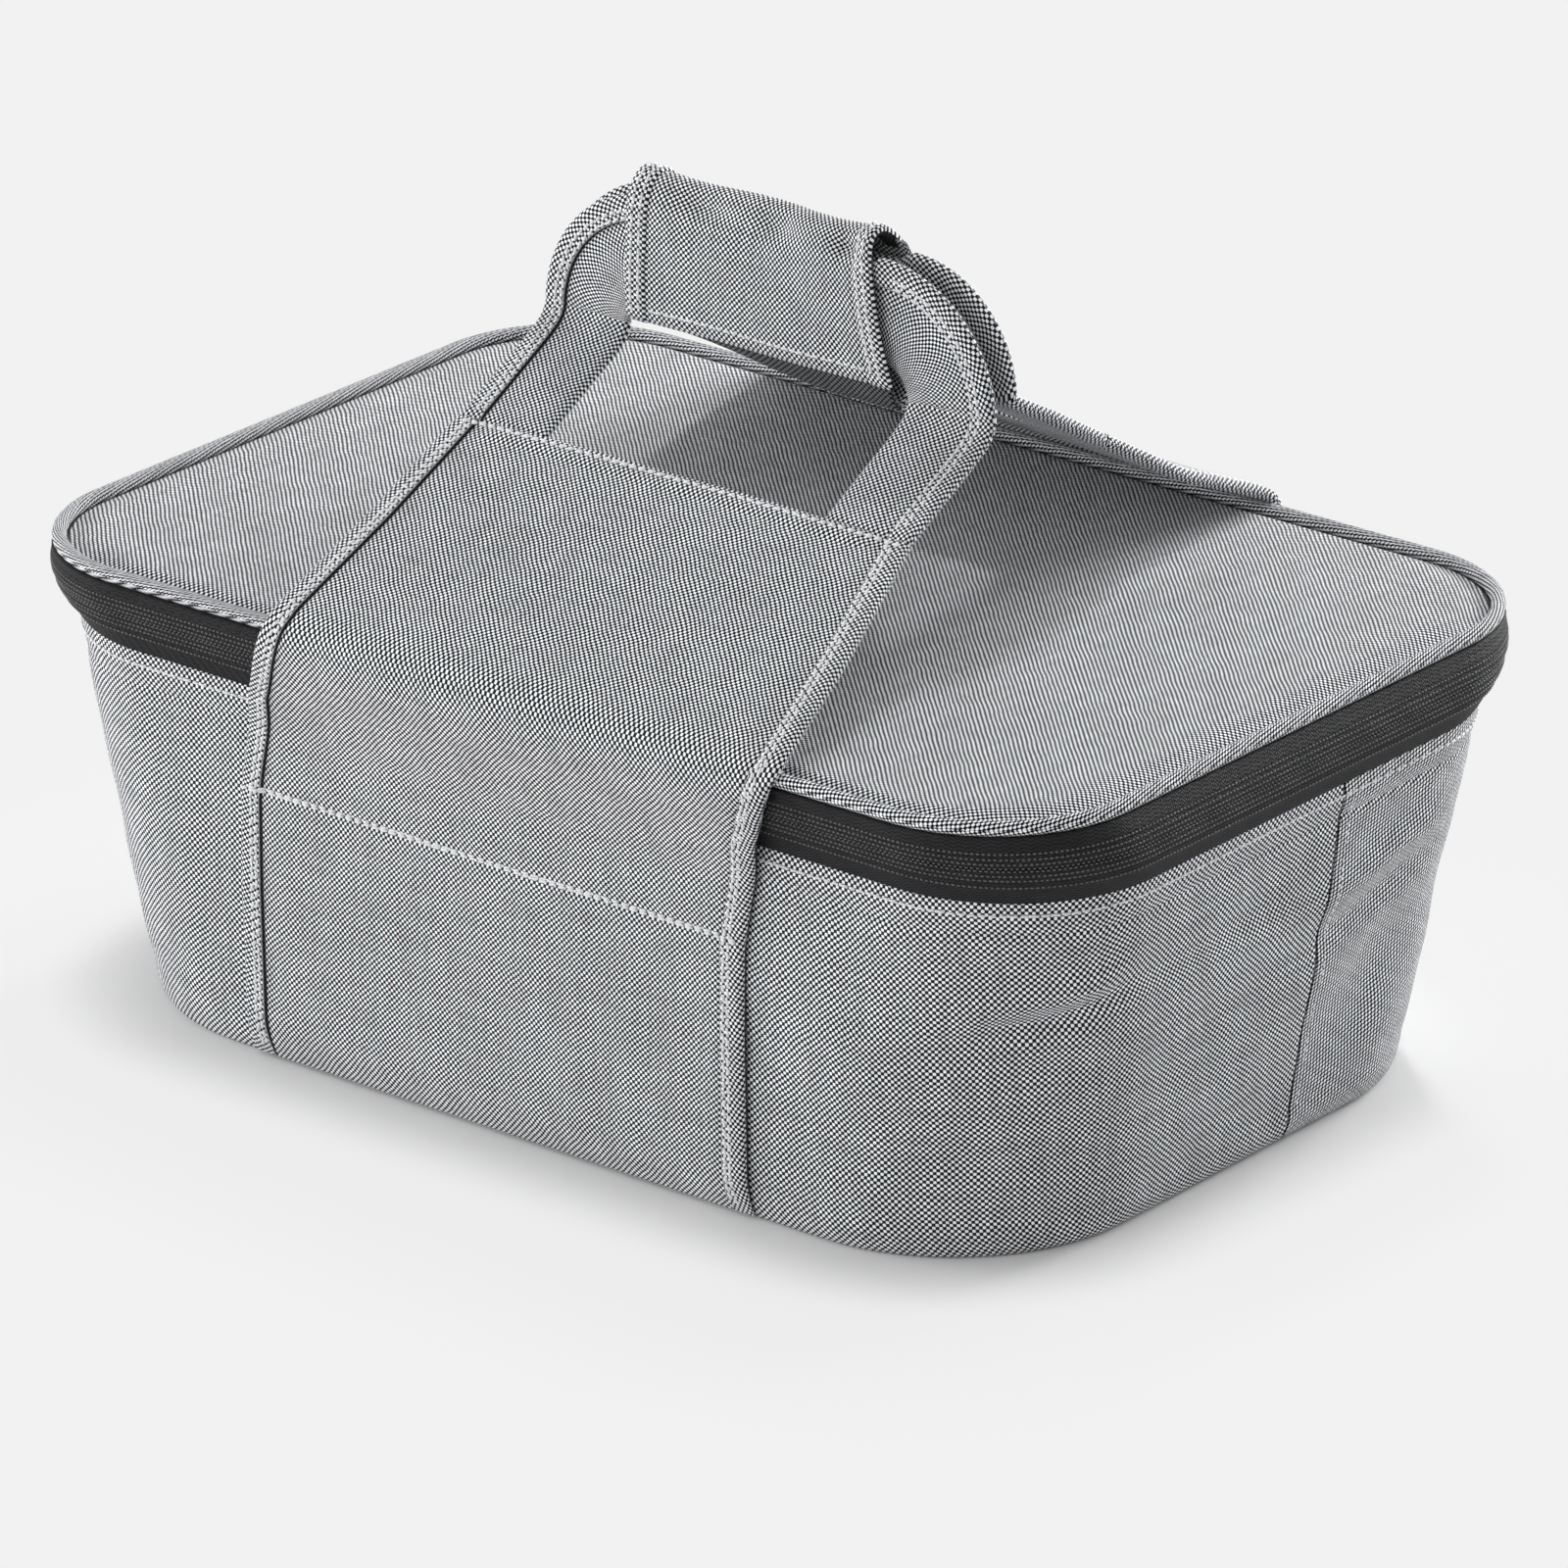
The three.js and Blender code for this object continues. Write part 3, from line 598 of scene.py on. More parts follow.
def crumple(p, n):
    """Moves wall points in and out: slack belly, slow waves, a few soft creases and the hem."""
    x, y, z = np.moveaxis(p, -1, 0)
    up = np.clip(z / RIM_Z, 0, 1)
    d = 0.9 * np.sin(math.pi * up)
    d = d + 0.55 * np.sin(x * 0.047 + z * 0.061 + 0.7) * np.sin(y * 0.053 - z * 0.043 + 1.9)
    d = d + 0.35 * np.sin(x * 0.11 - z * 0.09) * np.sin(y * 0.10 + z * 0.12 + 0.4)
    for centre, way, long, wide, depth in CREASES:
        way = unit(way)
        off = p - centre
        along = off @ way
        across = np.linalg.norm(off - along[..., None] * way, axis=-1)
        d = d + depth * bell(along / long) * bell(across / wide)
    d = d * ease(up / 0.12) * ease((1.0 - up) / 0.10)
    hem = bell((z - HEM_RIDGE_Z) / 4.0) - 1.3 * bell((z - HEM_GROOVE_Z) / 1.3)
    return p + n * (d + 0.45 * hem)[..., None]


WALL_Z = np.concatenate([FOOT_Z * (1 - np.cos(np.linspace(0.14, QUARTER, 9)))[:-1],
                         np.linspace(FOOT_Z, 108.0, 27)[:-1], np.linspace(108.0, 126.3, 14)])


def narrow_ends(grid):
    """Adds two columns close to each end of a wall, and turns the very edge in at the seam."""
    def step(p, q, far):
        return p + (q - p) * far / np.linalg.norm(q - p, axis=-1, keepdims=True)
    left = [step(grid[0], grid[1], far) for far in (0.7, 1.9)]
    right = [step(grid[-1], grid[-2], far) for far in (1.9, 0.7)]
    out = np.concatenate([grid[:1], left, grid[1:-1], right, grid[-1:]])
    for row in (0, -1):
        out[row, :, 0] -= np.sign(out[row, :, 0])
    return out


def add_walls():
    outer = rings(WALL_Z, wall_at, np.zeros(len(WALL_Z)))
    outer = crumple(outer, outward(outer))
    inner = rings(np.maximum(WALL_Z, 2.4), wall_at, np.full(len(WALL_Z), WALL_THICK))
    front, rear = [*range(SEAM_L, COUNT), *range(SEAM_R + 1)], [*range(SEAM_R, SEAM_L + 1)]
    for name, order, centre, angle in (("front", front, COUNT - SEAM_L, 0.0),
                                       ("rear", rear, (SEAM_L - SEAM_R) // 2, 0.5)):
        o, i = narrow_ends(outer[order]), narrow_ends(inner[order])
        u = run_of(o)
        uv = twist(u - u[centre + 2], run_across(o), angle) * 0.9
        # The cells at each seam get the mid-dark cloth: painted shade along the seam fold.
        seam = np.zeros((len(o) - 1, 1), int)
        seam[[0, -1]] = 2
        wall = slab(o, i, uv, name + "_wall_shell", [CLOTH, FOAM, PAINTED_SHADE_WEAVE], face_mat=seam,
                    rear_mat=1, deep=6, sharp=55.0)
        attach(wall, "carrier")
        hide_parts(name + "_wall_panel", name + "_wall_foam")
    return outer


def add_base():
    edge = level(wall_at(0.05), 0.9, 0.6)
    under = disc(edge, lambda p, s: 0.87 * ease((s - 0.965) / 0.035) + 0.03)
    over = disc(edge, lambda p, s: 1.8 - 0.9 * ease((s - 0.98) / 0.02))
    shell = Shell()
    shell.ring(under, plan_uv)
    shell.ring(over, plan_uv, flip=True)
    base = shell.make("base_cloth", [CLOTH])
    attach(base, "carrier")
    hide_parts("base_panel")


def add_liner():
    z = np.concatenate([np.linspace(LINER_TOP_Z, 20.0, 26), [17.0, 14.6, 12.9, 11.9, FLOOR_Z]])
    inset = np.concatenate([np.full(26, 8.3), [8.8, 10.2, 12.6, 16.0, 21.0]])
    inner = rings(z, wall_at, inset)
    x, y, up = np.moveaxis(inner, -1, 0)
    wave = 0.35 * np.sin(x * 0.13 + up * 0.17) * np.sin(y * 0.15 - 0.6)
    inner = inner + outward(inner) * (wave * ease((114.0 - up) / 20.0))[..., None]

    def floor_z(p, s):
        wave = np.sin(p[:, 0] * 0.05) * np.sin(p[:, 1] * 0.06)
        return FLOOR_Z + 0.25 * wave * ease((1 - s) / 0.2)

    floor = disc(inner[:, -1], floor_z)
    skin_z = np.maximum(z - 1.2, FLOOR_UNDER_Z)
    skin_z[0] = LINER_TOP_Z
    outer = rings(skin_z, wall_at, inset - 1.15)
    under = disc(outer[:, -1], lambda p, s: FLOOR_UNDER_Z)
    lip = np.stack([outer[:, 0], inner[:, 0]], 1)
    shell = Shell()
    for p, flip in ((inner, False), (floor, False), (outer, True), (under, True), (lip, False)):
        shell.ring(p, ring_uv, flip=flip)
    liner = shell.make("tub_lining", [FILM])
    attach(liner, "carrier")
    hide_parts("liner_tub", "base_foam")


def add_rim():
    section = [(-1.9, 126.6), (-1.7, 127.2), (-2.4, 127.65), (-5.0, 127.75), (-7.6, 127.6),
               (-8.5, 127.0), (-8.7, 126.2), (-8.75, 121.0), (-8.75, 117.2), (-8.3, 117.0),
               (-8.3, 126.1), (-5.0, 126.55)]
    rim = ring_tube(section, lambda z: RIM, "rim_tape", [TAPE])
    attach(rim, "carrier")
    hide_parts("rim_binding")


# Zip band: sections as (outset, z), rows of teeth as (z, outset)

LOWER = [(-0.9, 126.35), (0.1, 126.6), (0.2, 127.6), (0.1, 129.6), (0.1, 132.6), (0.35, 132.9),
         (0.4, 135.4), (0.2, 135.7), (0.5, 136.2), (0.62, 137.4), (0.6, 138.9), (0.35, 139.9),
         (-0.1, 140.45), (-1.6, 140.4), (-1.7, 133), (-1.6, 126.4)]
UPPER = [(-0.1, 140.82), (0.35, 141.3), (0.6, 142.2), (0.62, 143.8), (0.5, 145), (0.2, 145.5),
         (0.4, 145.8), (0.35, 148.2), (0.1, 148.5), (0.1, 149.8), (0.2, 150.9), (-0.5, 151.35),
         (-1.6, 151.2), (-1.7, 146), (-1.6, 140.9)]
LOWER_TEETH = ((133.6, 0.30), (136.6, 0.45), (138.4, 0.50), (140.1, 0.15))
UPPER_TEETH = ((146.2, 0.28), (144.4, 0.45), (142.7, 0.50), (141.1, 0.15))


def add_zip():
    for name, section, body, node in (
            ("zip_band_lower", LOWER, "carrier", ("lower_zip_tape", "lower_zip_coil")),
            ("zip_band_upper", UPPER, "lid", ("upper_zip_tape", "upper_zip_coil"))):
        obj = ring_tube(section, band_at, name, [TAPE])
        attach(obj, body)
        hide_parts(*node)
    for name, rows, body in (("zip_teeth_lower", LOWER_TEETH, "carrier"),
                             ("zip_teeth_upper", UPPER_TEETH, "lid")):
        beads = Beads()
        for z, out in rows:
            p = level(band_at(z), z, -out - 0.15)
            n = outward(p[:, None])[:, 0]
            kept = np.flatnonzero((p[:, 1] <= 100.0) | (np.abs(p[:, 0]) >= ZIP_END_X))
            order = np.roll(kept, -1 - np.argmax(np.diff(kept) > 1))
            beads.row(p[order], n[order], pitch=1.7, long=0.5, wide=0.36, high=0.4)
        obj = beads.make(name, COIL_PAINTED_SHEEN)
        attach(obj, body)
    z = np.linspace(132.0, 148.0, 13)
    lift = 1.9 + 0.25 * np.sin(np.linspace(0, math.pi, 13))
    x = np.linspace(-ZIP_END_X, ZIP_END_X, 61)
    face = spread(x[:, None], np.array([band_at(h)[1] for h in z]) + lift, z)
    obj = slab(face, face - (0.0, 0.9, 0.0), face[..., [0, 2]], "hinge_cloth", [TAPE])
    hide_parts("rear_hinge_tape")
    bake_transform(obj)


# Lid

WELT_Z, WELT_R, WELT_SIDES = 153.7, 2.4, 12
LID_EDGE_Z, LID_FOOT_Z = 152.4, 146.6
LID_SCALES = (1, 0.996, 0.99, 0.983, 0.975, 0.965, 0.952, 0.935, 0.91,
              *np.linspace(0.87, 0.03, 22), 0)


def add_lid():
    run = tuple(v - 2.3 for v in BAND)
    turns = [2 * math.pi * k / WELT_SIDES for k in range(WELT_SIDES)]
    welt = [(WELT_R * math.cos(t), WELT_Z + WELT_R * math.sin(t)) for t in turns]
    pipe = ring_tube(welt, lambda z: run, "lid_welt", [CLOTH], angle=0.6)
    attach(pipe, "lid")
    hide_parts("lid_piping")

    def crown(p, s):
        rise = LID_EDGE_Z + 2.7 * ease((1 - s) / 0.055) + ease((1 - s) / 0.5)
        slack = 0.45 * np.sin(p[:, 0] * 0.031 + 0.5) * np.sin(p[:, 1] * 0.043 + 1.1)
        return rise + slack * ease((1 - s) / 0.15)

    edge, foot = level(run, LID_EDGE_Z, 2.2), level(run, LID_FOOT_Z, 2.6)
    top = disc(edge, crown, LID_SCALES)
    under = disc(foot, lambda p, s: LID_FOOT_Z)
    side = np.stack([edge, foot], 1)
    shell = Shell()
    # The outermost ring of the top gets the near-black cloth: a painted shade line just inside the
    # welt.
    shell.ring(top, plan_uv, np.array([2] + [0] * (len(LID_SCALES) - 2)))
    shell.ring(under, plan_uv, 1, flip=True)
    shell.ring(side, ring_uv, 1, flip=True)
    lid = shell.make("lid_cushion", [CLOTH, FOAM, PAINTED_SHADE_CLOTH])
    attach(lid, "lid")
    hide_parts("lid_panel", "lid_foam")

    def sag(p, s):
        quilt = 0.35 * np.sin(p[:, 0] * 0.09) * np.sin(p[:, 1] * 0.09) * ease((1 - s) / 0.1)
        return 145.15 + 0.6 * ease((s - 0.97) / 0.03) - np.abs(quilt)

    rim = level(band_at(145.6), 145.9, 2.4)
    low = disc(rim, sag, LID_SCALES)
    high = disc(rim, lambda p, s: 146.3)
    side = np.stack([low[:, 0], high[:, 0]], 1)
    shell = Shell()
    shell.ring(low, plan_uv)
    shell.ring(high, plan_uv, flip=True)
    shell.ring(side, ring_uv)
    lining = shell.make("lid_lining", [FILM])
    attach(lining, "lid")
    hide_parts("lid_liner")


# Straps

RIM_HALF, SEAM_HALF = 101.6, 90.5
TURN_OVER_RIM = (138.6, 157.3)


def strap_line(side):
    """Inner line of a strap in (distance out, height), from the base to the foot of the bar."""
    points = [(wall_at(z)[1] + 0.3, z) for z in (1.4, 3.0, 5.5, 8.5, 12.0, STITCH_Z, 116.5)]
    for z in (mix(RIM_Z, BAND_Z, t) for t in (0.25, 0.6, 0.9)):
        points.append((band_at(z)[1] + 1.6, z))
    for turn in (0.2, 0.7, 1.15):
        points.append((137.2 + 3.4 * math.cos(turn), 154.2 + 3.4 * math.sin(turn)))
    face, seam, centre = side["face"], side["seam"], BAR_TOP - side["round"]
    points.append(seam)
    points += [(mix(face, seam[0], d), mix(seam[1], centre, up)) for d, up in side["bend"]]
    points.append((face, centre))
    return np.array(points)


class Strap:
    """Places points on a strap: x across, run along it, lift above its inner line."""

    def __init__(self, side):
        self.side = side
        self.line = soften(strap_line(side), 2.5, 3.0)
        t = unit(np.gradient(self.line, axis=0))
        self.out = np.stack([t[:, 1], -t[:, 0]], 1)
        self.run = run_of(self.line)
        self.seam, self.rim = (
            self.run[np.argmin(np.linalg.norm(self.line - point, axis=1))]
            for point in (side["seam"], TURN_OVER_RIM))

    def half(self, run):
        far = np.clip((run - self.rim) / (self.seam - self.rim), 0, 1)
        return mix(RIM_HALF, SEAM_HALF, far)

    def read(self, values, run):
        return [np.interp(run, self.run, column) for column in values.T]

    def normal(self, run):
        d, z = self.read(self.out, run)
        return spread(0.0, self.side["s"] * d, z)

    def flat(self, x, run, lift):
        (d, z), (out_d, out_z) = self.read(self.line, run), self.read(self.out, run)
        return spread(x, self.side["s"] * (d + out_d * lift), z + out_z * lift)

    def hang(self, p, run):
        """Lays points askew, as the strap hangs: side tilt and sideways shift by run."""
        rim, seam = self.rim, self.seam
        marks = (0.0, 60.0, 92.0, 128.0, rim, mix(rim, seam, 0.5), seam, seam + 30.0, self.run[-1])
        p[..., 2] += np.interp(run, marks, self.side["tilt"]) * p[..., 0] / 90.0
        p[..., 0] += np.interp(run, marks, self.side["shift"])
        return p

    def at(self, x, run, lift):
        return self.hang(self.flat(x, run, lift), run)


def profile_lead(edge, height):
    """How far the cloth run of an edge profile leads its distance, measured from the inner end."""
    run = run_of(np.stack([edge, height], 1))
    return (run[-1] - run) - (edge[-1] - edge)


# Hem profile by distance from the edge: lift of the face and of the back, and painted shade:
# near-black cells in the groove at the hem's step and under the edge.
HEM_E = np.array([0, 0.2, 0.7, 1.5, 2.4, 3.6, 5, 6.4, 7.4, 8.1, 8.4, 8.5, 8.8, 9.2, 10.4, 12.6])
HEM_H = np.array([2, 2.9, 3.5, 3.9, 4.02, 3.95, 4.05, 3.95, 4.02, 3.9, 3.75, 2.75, 2.65, 2.85,
                  3, 3.1])
BACK_H = np.array([2.1, 1, 0.35, 0.05] + [0] * 12)
# Cells of painted shade: the groove on the face and the underside at the edge.
HEM_SHADE_MAT = np.array([0] * 10 + [1, 1] + [0] * 3)
BACK_SHADE_MAT = np.array([1] * 3 + [0] * 12)
HEM_LEAD = profile_lead(HEM_E, HEM_H)
HEM_TURN, HEM_ANGLE = 10, 0.2
HEM_ROWS = ((5.1, 0.5), (7.0, 0.9))
HEM_STITCH = dict(pitch=3.2, long=1.2, wide=0.58, high=0.5)
END_STITCH = dict(pitch=3.6, long=1.1, wide=0.68, high=0.7, tilt=0.15, skip=0.9)
CROSS_STITCH = dict(pitch=3.6, long=1.35, wide=0.5, high=0.55, tilt=0.12)


def thin_foot(run):
    """Share of the strap's thickness that is left near the base."""
    return mix(0.30, 1.0, ease(run / 16.0))


def add_strap(side):
    strap = Strap(side)
    runs = strap.run[(strap.run > 2.2) & (strap.run < strap.seam - 1.0)]
    runs = np.concatenate([[0.0, 0.3, 0.8, 1.5], runs,
                           strap.seam - np.array([0.8, 0.45, 0.2, 0.05])])
    down = runs[:, None]
    middle = np.linspace(0.0, 1.0, 25)[1:-1]
    plain = np.zeros(len(middle) + 1, int)
    foot = thin_foot(down)
    closing = np.maximum(rounded((strap.seam - down) / 0.9) * rounded(down / 1.5), 0.02)
    end_hem = ease((down - strap.seam + 5.6) / 0.7)
    z = np.interp(down, strap.run, strap.line[:, 1])
    cross = bell((z - STITCH_Z) / 1.6) * (down < strap.seam * 0.6)
    w = strap.half(down)
    x = np.concatenate([-w + HEM_E, mix(-w + HEM_E[-1], w - HEM_E[-1], middle),
                        (w - HEM_E)[:, ::-1]], 1)
    hem = HEM_H - 0.5 * cross
    puff = 3.1 + 0.55 * np.sin(math.pi * middle) + 0.25 * np.sin(middle * 9.0 + down * 0.031)
    puff = puff - 0.8 * cross + 1.15 * end_hem

    def layer(lift):
        mid = 2.1 * foot
        return strap.at(x, down, mid + (lift * foot - mid) * closing)

    face = layer(np.concatenate([hem, puff, hem[:, ::-1]], 1))
    rear = layer(np.concatenate([BACK_H, np.zeros(len(middle)), BACK_H[::-1]]))
    uv = spread(face[..., 0], down)
    uv[:, :len(HEM_E), 0] -= HEM_LEAD
    uv[:, -len(HEM_E):, 0] += HEM_LEAD[::-1]
    uv[:, :HEM_TURN] = twist(uv[:, :HEM_TURN, 0], down, HEM_ANGLE)
    uv[:, -HEM_TURN:] = twist(uv[:, -HEM_TURN:, 0], down, -HEM_ANGLE)
    # Painted shade: the hem grooves on the face, and the underside at the edges where the strap
    # lies against the wall.
    mats = np.concatenate([HEM_SHADE_MAT, plain, HEM_SHADE_MAT[::-1]])
    under = np.concatenate([BACK_SHADE_MAT, plain, BACK_SHADE_MAT[::-1]]) * (down[:-1] < strap.rim - 24.0)
    name = side["name"]
    obj = slab(face, rear, uv, name + "_strap_panel", [CLOTH, PAINTED_SHADE_CLOTH], face_mat=mats,
               rear_mat=under)
    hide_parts(*[f"{name}_{part}_{layer}" for part in ("anchor", "strap") for layer in
                       ("lining", "core", "face")])
    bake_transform(obj)
    add_strap_stitches(strap, name)
    return strap


def add_strap_stitches(strap, name):
    beads = Beads()
    runs = np.arange(4.0, strap.seam - 1.0, 2.0)
    for edge in (-1, 1):
        for e, skip in HEM_ROWS:
            p = strap.at(edge * (strap.half(runs) - e), runs, 4.0 * thin_foot(runs))
            beads.row(p, strap.normal(runs), **HEM_STITCH, tilt=0.25 * edge, skip=skip)

    def across(run, lift, off=0.0, **stitch):
        w = float(strap.half(run)) - 2.0
        x = np.linspace(-w, w, 80)
        up = np.where(np.abs(x) > w - 6.8, 4.0, lift + 0.45 * np.cos(x / w * QUARTER))
        normal = np.tile(strap.normal(run), (80, 1))
        beads.row(strap.at(x, np.full(80, run + off), up), normal, **stitch)

    low = len(strap.run) // 2
    cross = float(np.interp(STITCH_Z - 0.8, strap.line[:low, 1], strap.run[:low]))
    for off in (-0.45, 0.45):
        across(cross, 2.75, off, **CROSS_STITCH, skip=0.5 + off)
    across(strap.seam - 2.6, 4.4, **END_STITCH)
    obj = beads.make(name + "_strap_stitching", THREAD)
    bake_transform(obj)


# Handles: the hem profile, carried on over the width of a leg

LEG_E = np.concatenate([HEM_E, [16, 19, 22, 25, 28, 30.5, 32.2, 33.2, 33.75, 34]])
LEG_H = np.concatenate([HEM_H, [3.3, 3.4, 3.45, 3.45, 3.4, 3.3, 3.2, 2.9, 2.4, 1.6]])
LEG_B = np.concatenate([BACK_H, [0, 0, 0, 0, 0, 0, 0, 0.2, 0.7, 1.6]])
LEG_SHADE_MAT = np.concatenate([HEM_SHADE_MAT, np.zeros(10, int)])


def handle_grid(strap, lift):
    """Grid of a handle from the left seam over the bar to the right seam, hung as its strap."""
    side = strap.side
    hub, centre = LEG_OUT - side["round"], BAR_TOP - side["round"]
    legs = np.concatenate([strap.seam + np.array([-3.0, -1.0, 0.6]),
                           strap.run[strap.run > strap.seam + 1.5]])[:, None]
    thin = np.ones(legs.shape)
    thin[:3, 0] = (0.45, 0.62, 0.85)
    r, y = side["round"] - LEG_E, side["s"] * (side["face"] + lift)
    turn = np.linspace(0.0, QUARTER, 22)[1:, None]
    x = np.linspace(hub, 0.0, 10)[1:, None]
    drop = 3.2 * ease((hub + 4.0 - x) / 6.0)
    right = np.concatenate([strap.flat(LEG_OUT - LEG_E, legs, lift * thin),
                            spread(hub + r * np.cos(turn), y, centre + r * np.sin(turn)),
                            spread(x, y, centre + r - drop)])
    run = np.full((len(right), 1), strap.run[-1])
    run[:len(legs)] = legs
    grid = np.concatenate([right * (-1.0, 1.0, 1.0), right[-2::-1]])
    return strap.hang(grid, np.concatenate([run, run[-2::-1]]))


def add_handle(side, strap):
    name, s = side["name"], side["s"]
    face, rear = handle_grid(strap, LEG_H), handle_grid(strap, LEG_B)
    v = run_of(face[:, len(LEG_E) // 2])
    wide = profile_lead(LEG_E, LEG_H) + (LEG_E[-1] - LEG_E)
    uv = spread(wide, v[:, None])
    uv[:, :HEM_TURN] = twist(wide[:HEM_TURN], v[:, None], HEM_ANGLE)
    # Painted shade in the hem groove of each leg.
    obj = slab(face, rear, uv, name + "_handle_loop", [CLOTH, PAINTED_SHADE_CLOTH], face_mat=LEG_SHADE_MAT)
    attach(obj, side["body"])
    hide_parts(*[f"{name}_handle_{layer}" for layer in ("lining", "core", "face")])
    beads = Beads()
    for e, skip in HEM_ROWS:
        k = int(np.argmin(np.abs(LEG_E - e)))
        line = face[3:-3, k]
        n = np.cross(face[3:-3, k + 1] - face[3:-3, k - 1], np.gradient(line, axis=0))
        n = unit(n * np.sign(n[:, 1:2] * s + 1e-9))
        hidden = np.flatnonzero(np.abs(line[:, 0]) < GRIP_HALF - 3)
        for part in (slice(0, hidden[0]), slice(hidden[-1] + 1, len(line))):
            beads.row(line[part], n[part], **HEM_STITCH, tilt=0.25, skip=skip)
    obj = beads.make(name + "_handle_stitching", THREAD)
    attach(obj, side["body"])


# Grip: profiles as (y, z), the cover from its lower edge and the wrap from its front lip

COVER = [(-7.9, 226.4), (-8.3, 234), (-8.6, 243), (-8.5, 252), (-8.2, 259.5), (-7.3, 265.6),
         (-5.6, 270.2), (-3, 273.6), (0.4, 275), (4, 274.2), (7.6, 271.8), (10.6, 268.8),
         (12.3, 266)]
ROLL = [(-3.1, 232.2), (-3.2, 230), (-2.8, 227.6), (-1, 226.2), (2, 225.7), (6.2, 226.4),
        (8.8, 228.6), (9.9, 232), (10.3, 240), (10.3, 260), (10.2, 264.6), (9.4, 267.2),
        (7.6, 269.3)]
COVER_EDGE = np.array([0, 0.2, 0.7, 1.6, 3, 4.6, 6.2, 7.6, 8.2, 8.5, 9, 9.6, 10.8, 12.6])
COVER_RISE = np.array([-1.1, -0.2, 0.35, 0.65, 0.75, 0.7, 0.75, 0.65, 0.5, -0.2, -0.25, -0.1,
                       0, 0])
DENTS = ((40, 5.5, 4.2), (6, 9, 3.6), (-24, 11, 3.4))
DENT_RUN, DENT_LONG = 43.5, 4.5
LIP_RUN = 8.0


def sheet_along(profile, reach, x, heights, backs, bend):
    """Grids over x and along a (y, z) profile, lifted along its left-hand normal."""
    line = soften(profile, 1.6, reach)
    t = unit(np.gradient(line, axis=0))
    out = np.stack([-t[:, 1], t[:, 0]], 1)
    run = run_of(line)

    def lift(h):
        y, z = (line[:, k] + out[:, k] * h for k in (0, 1))
        return bend(spread(x[:, None], y, z))

    return lift(heights(run)), lift(backs(run)), run, out


def from_ends(at):
    return np.minimum(at - at[0], at[-1] - at)


def add_grip():
    middle = np.linspace(-GRIP_HALF + 12.6, GRIP_HALF - 12.6, 40)[1:-1]
    x = np.concatenate([-GRIP_HALF + COVER_EDGE, middle, (GRIP_HALF - COVER_EDGE)[::-1]])
    hem = np.concatenate([COVER_RISE, np.zeros(len(middle)), COVER_RISE[::-1]])[:, None]
    column = x[:, None]

    def dents(run):
        wave = 0.5 * np.sin(column * 0.11 + run * 0.09) * np.sin(run * 0.08 + 0.6)
        for at, wide, deep in DENTS:
            wave = wave - deep * bell((column - at) / wide) * bell((run - DENT_RUN) / DENT_LONG)
        return wave

    def cover_face(run):
        return hem - 1.2 * (1 - rounded(from_ends(run) / 1.3)) + dents(run)

    def cover_back(run):
        side = np.clip(from_ends(x) / 1.2, 0, 1)[:, None]
        return -1.2 - 1.3 * side * rounded(from_ends(run) / 1.3) + dents(run)

    def slant(p):
        """The right end leans in towards the crest."""
        lean = np.clip((p[..., 2] - 227.0) / 46.0, 0, 1)
        p[..., 0] -= 11.0 * lean * np.clip(p[..., 0] / GRIP_HALF, 0, 1)
        return p

    face, back, run, out = sheet_along(COVER, 2.2, x, cover_face, cover_back, slant)
    # Painted shade: near-black cloth inside the cover close to each end and on its end faces.
    inside = np.zeros((len(x) - 1, 1), int)
    inside[:8] = inside[-8:] = 1
    cover = slab(face, back, spread(column, run), "grip_cover", [CLOTH, PAINTED_SHADE_CLOTH],
                 rear_mat=inside, end_mat=1)
    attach(cover, "grip")
    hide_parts("grip_flap")
    beads = Beads()
    n = unit(np.cross(np.gradient(face, axis=0), np.gradient(face, axis=1)))
    n *= np.sign(np.sum(n[..., 1:] * out, -1, keepdims=True))
    for k, skip in ((4, 0.5), (6, 0.9), (-5, 0.5), (-7, 0.9)):
        beads.row(face[k, 2:-2], n[k, 2:-2], pitch=3.0, long=1.15, wide=0.52, high=0.5, tilt=0.2,
                  skip=skip)
    beads.row(face[10:-10, 3], n[10:-10, 3], pitch=3.0, long=1.1, wide=0.5, high=0.5)
    obj = beads.make("grip_stitching", THREAD)
    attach(obj, "grip")
    add_wrap()
    add_grip_inside()


def add_wrap():
    x = np.concatenate([[-46.6, -46.3, -45.7], np.linspace(-44.5, 44.5, 46), [45.7, 46.3, 46.6]])
    side = rounded(from_ends(x) / 1.2)[:, None]

    def tongue(run):
        """Thins the end that is sewn inside the flap."""
        return 1.0 - 0.75 * ease((run - run[-1] + 7.5) / 5.0)

    def droop(p):
        """The lower edge sags towards the right."""
        drop = ease((238.0 - p[..., 2]) / 11.0) * (0.4 + 9.2 * ease((p[..., 0] + 38.0) / 60.0))
        p[..., 1] += 0.7 * drop * ease((6.0 - p[..., 1]) / 6.0)
        p[..., 2] -= drop
        return p

    face, back, run, _ = sheet_along(ROLL, 2.0, x, lambda run: (-1.2 - 1.2 * side) * tongue(run),
                                     lambda run: (-1.2 + 1.2 * side) * tongue(run), droop)
    # The roll's front lip, under the flap's edge, gets the mid-dark cloth as painted shade.
    lip = (run[:-1] < LIP_RUN).astype(int)
    roll = slab(face, back, spread(x[:, None], run_across(face)), "grip_roll", [CLOTH, PAINTED_SHADE_WEAVE],
                face_mat=lip, rear_mat=lip[::-1])
    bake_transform(roll)
    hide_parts("grip_wrap")


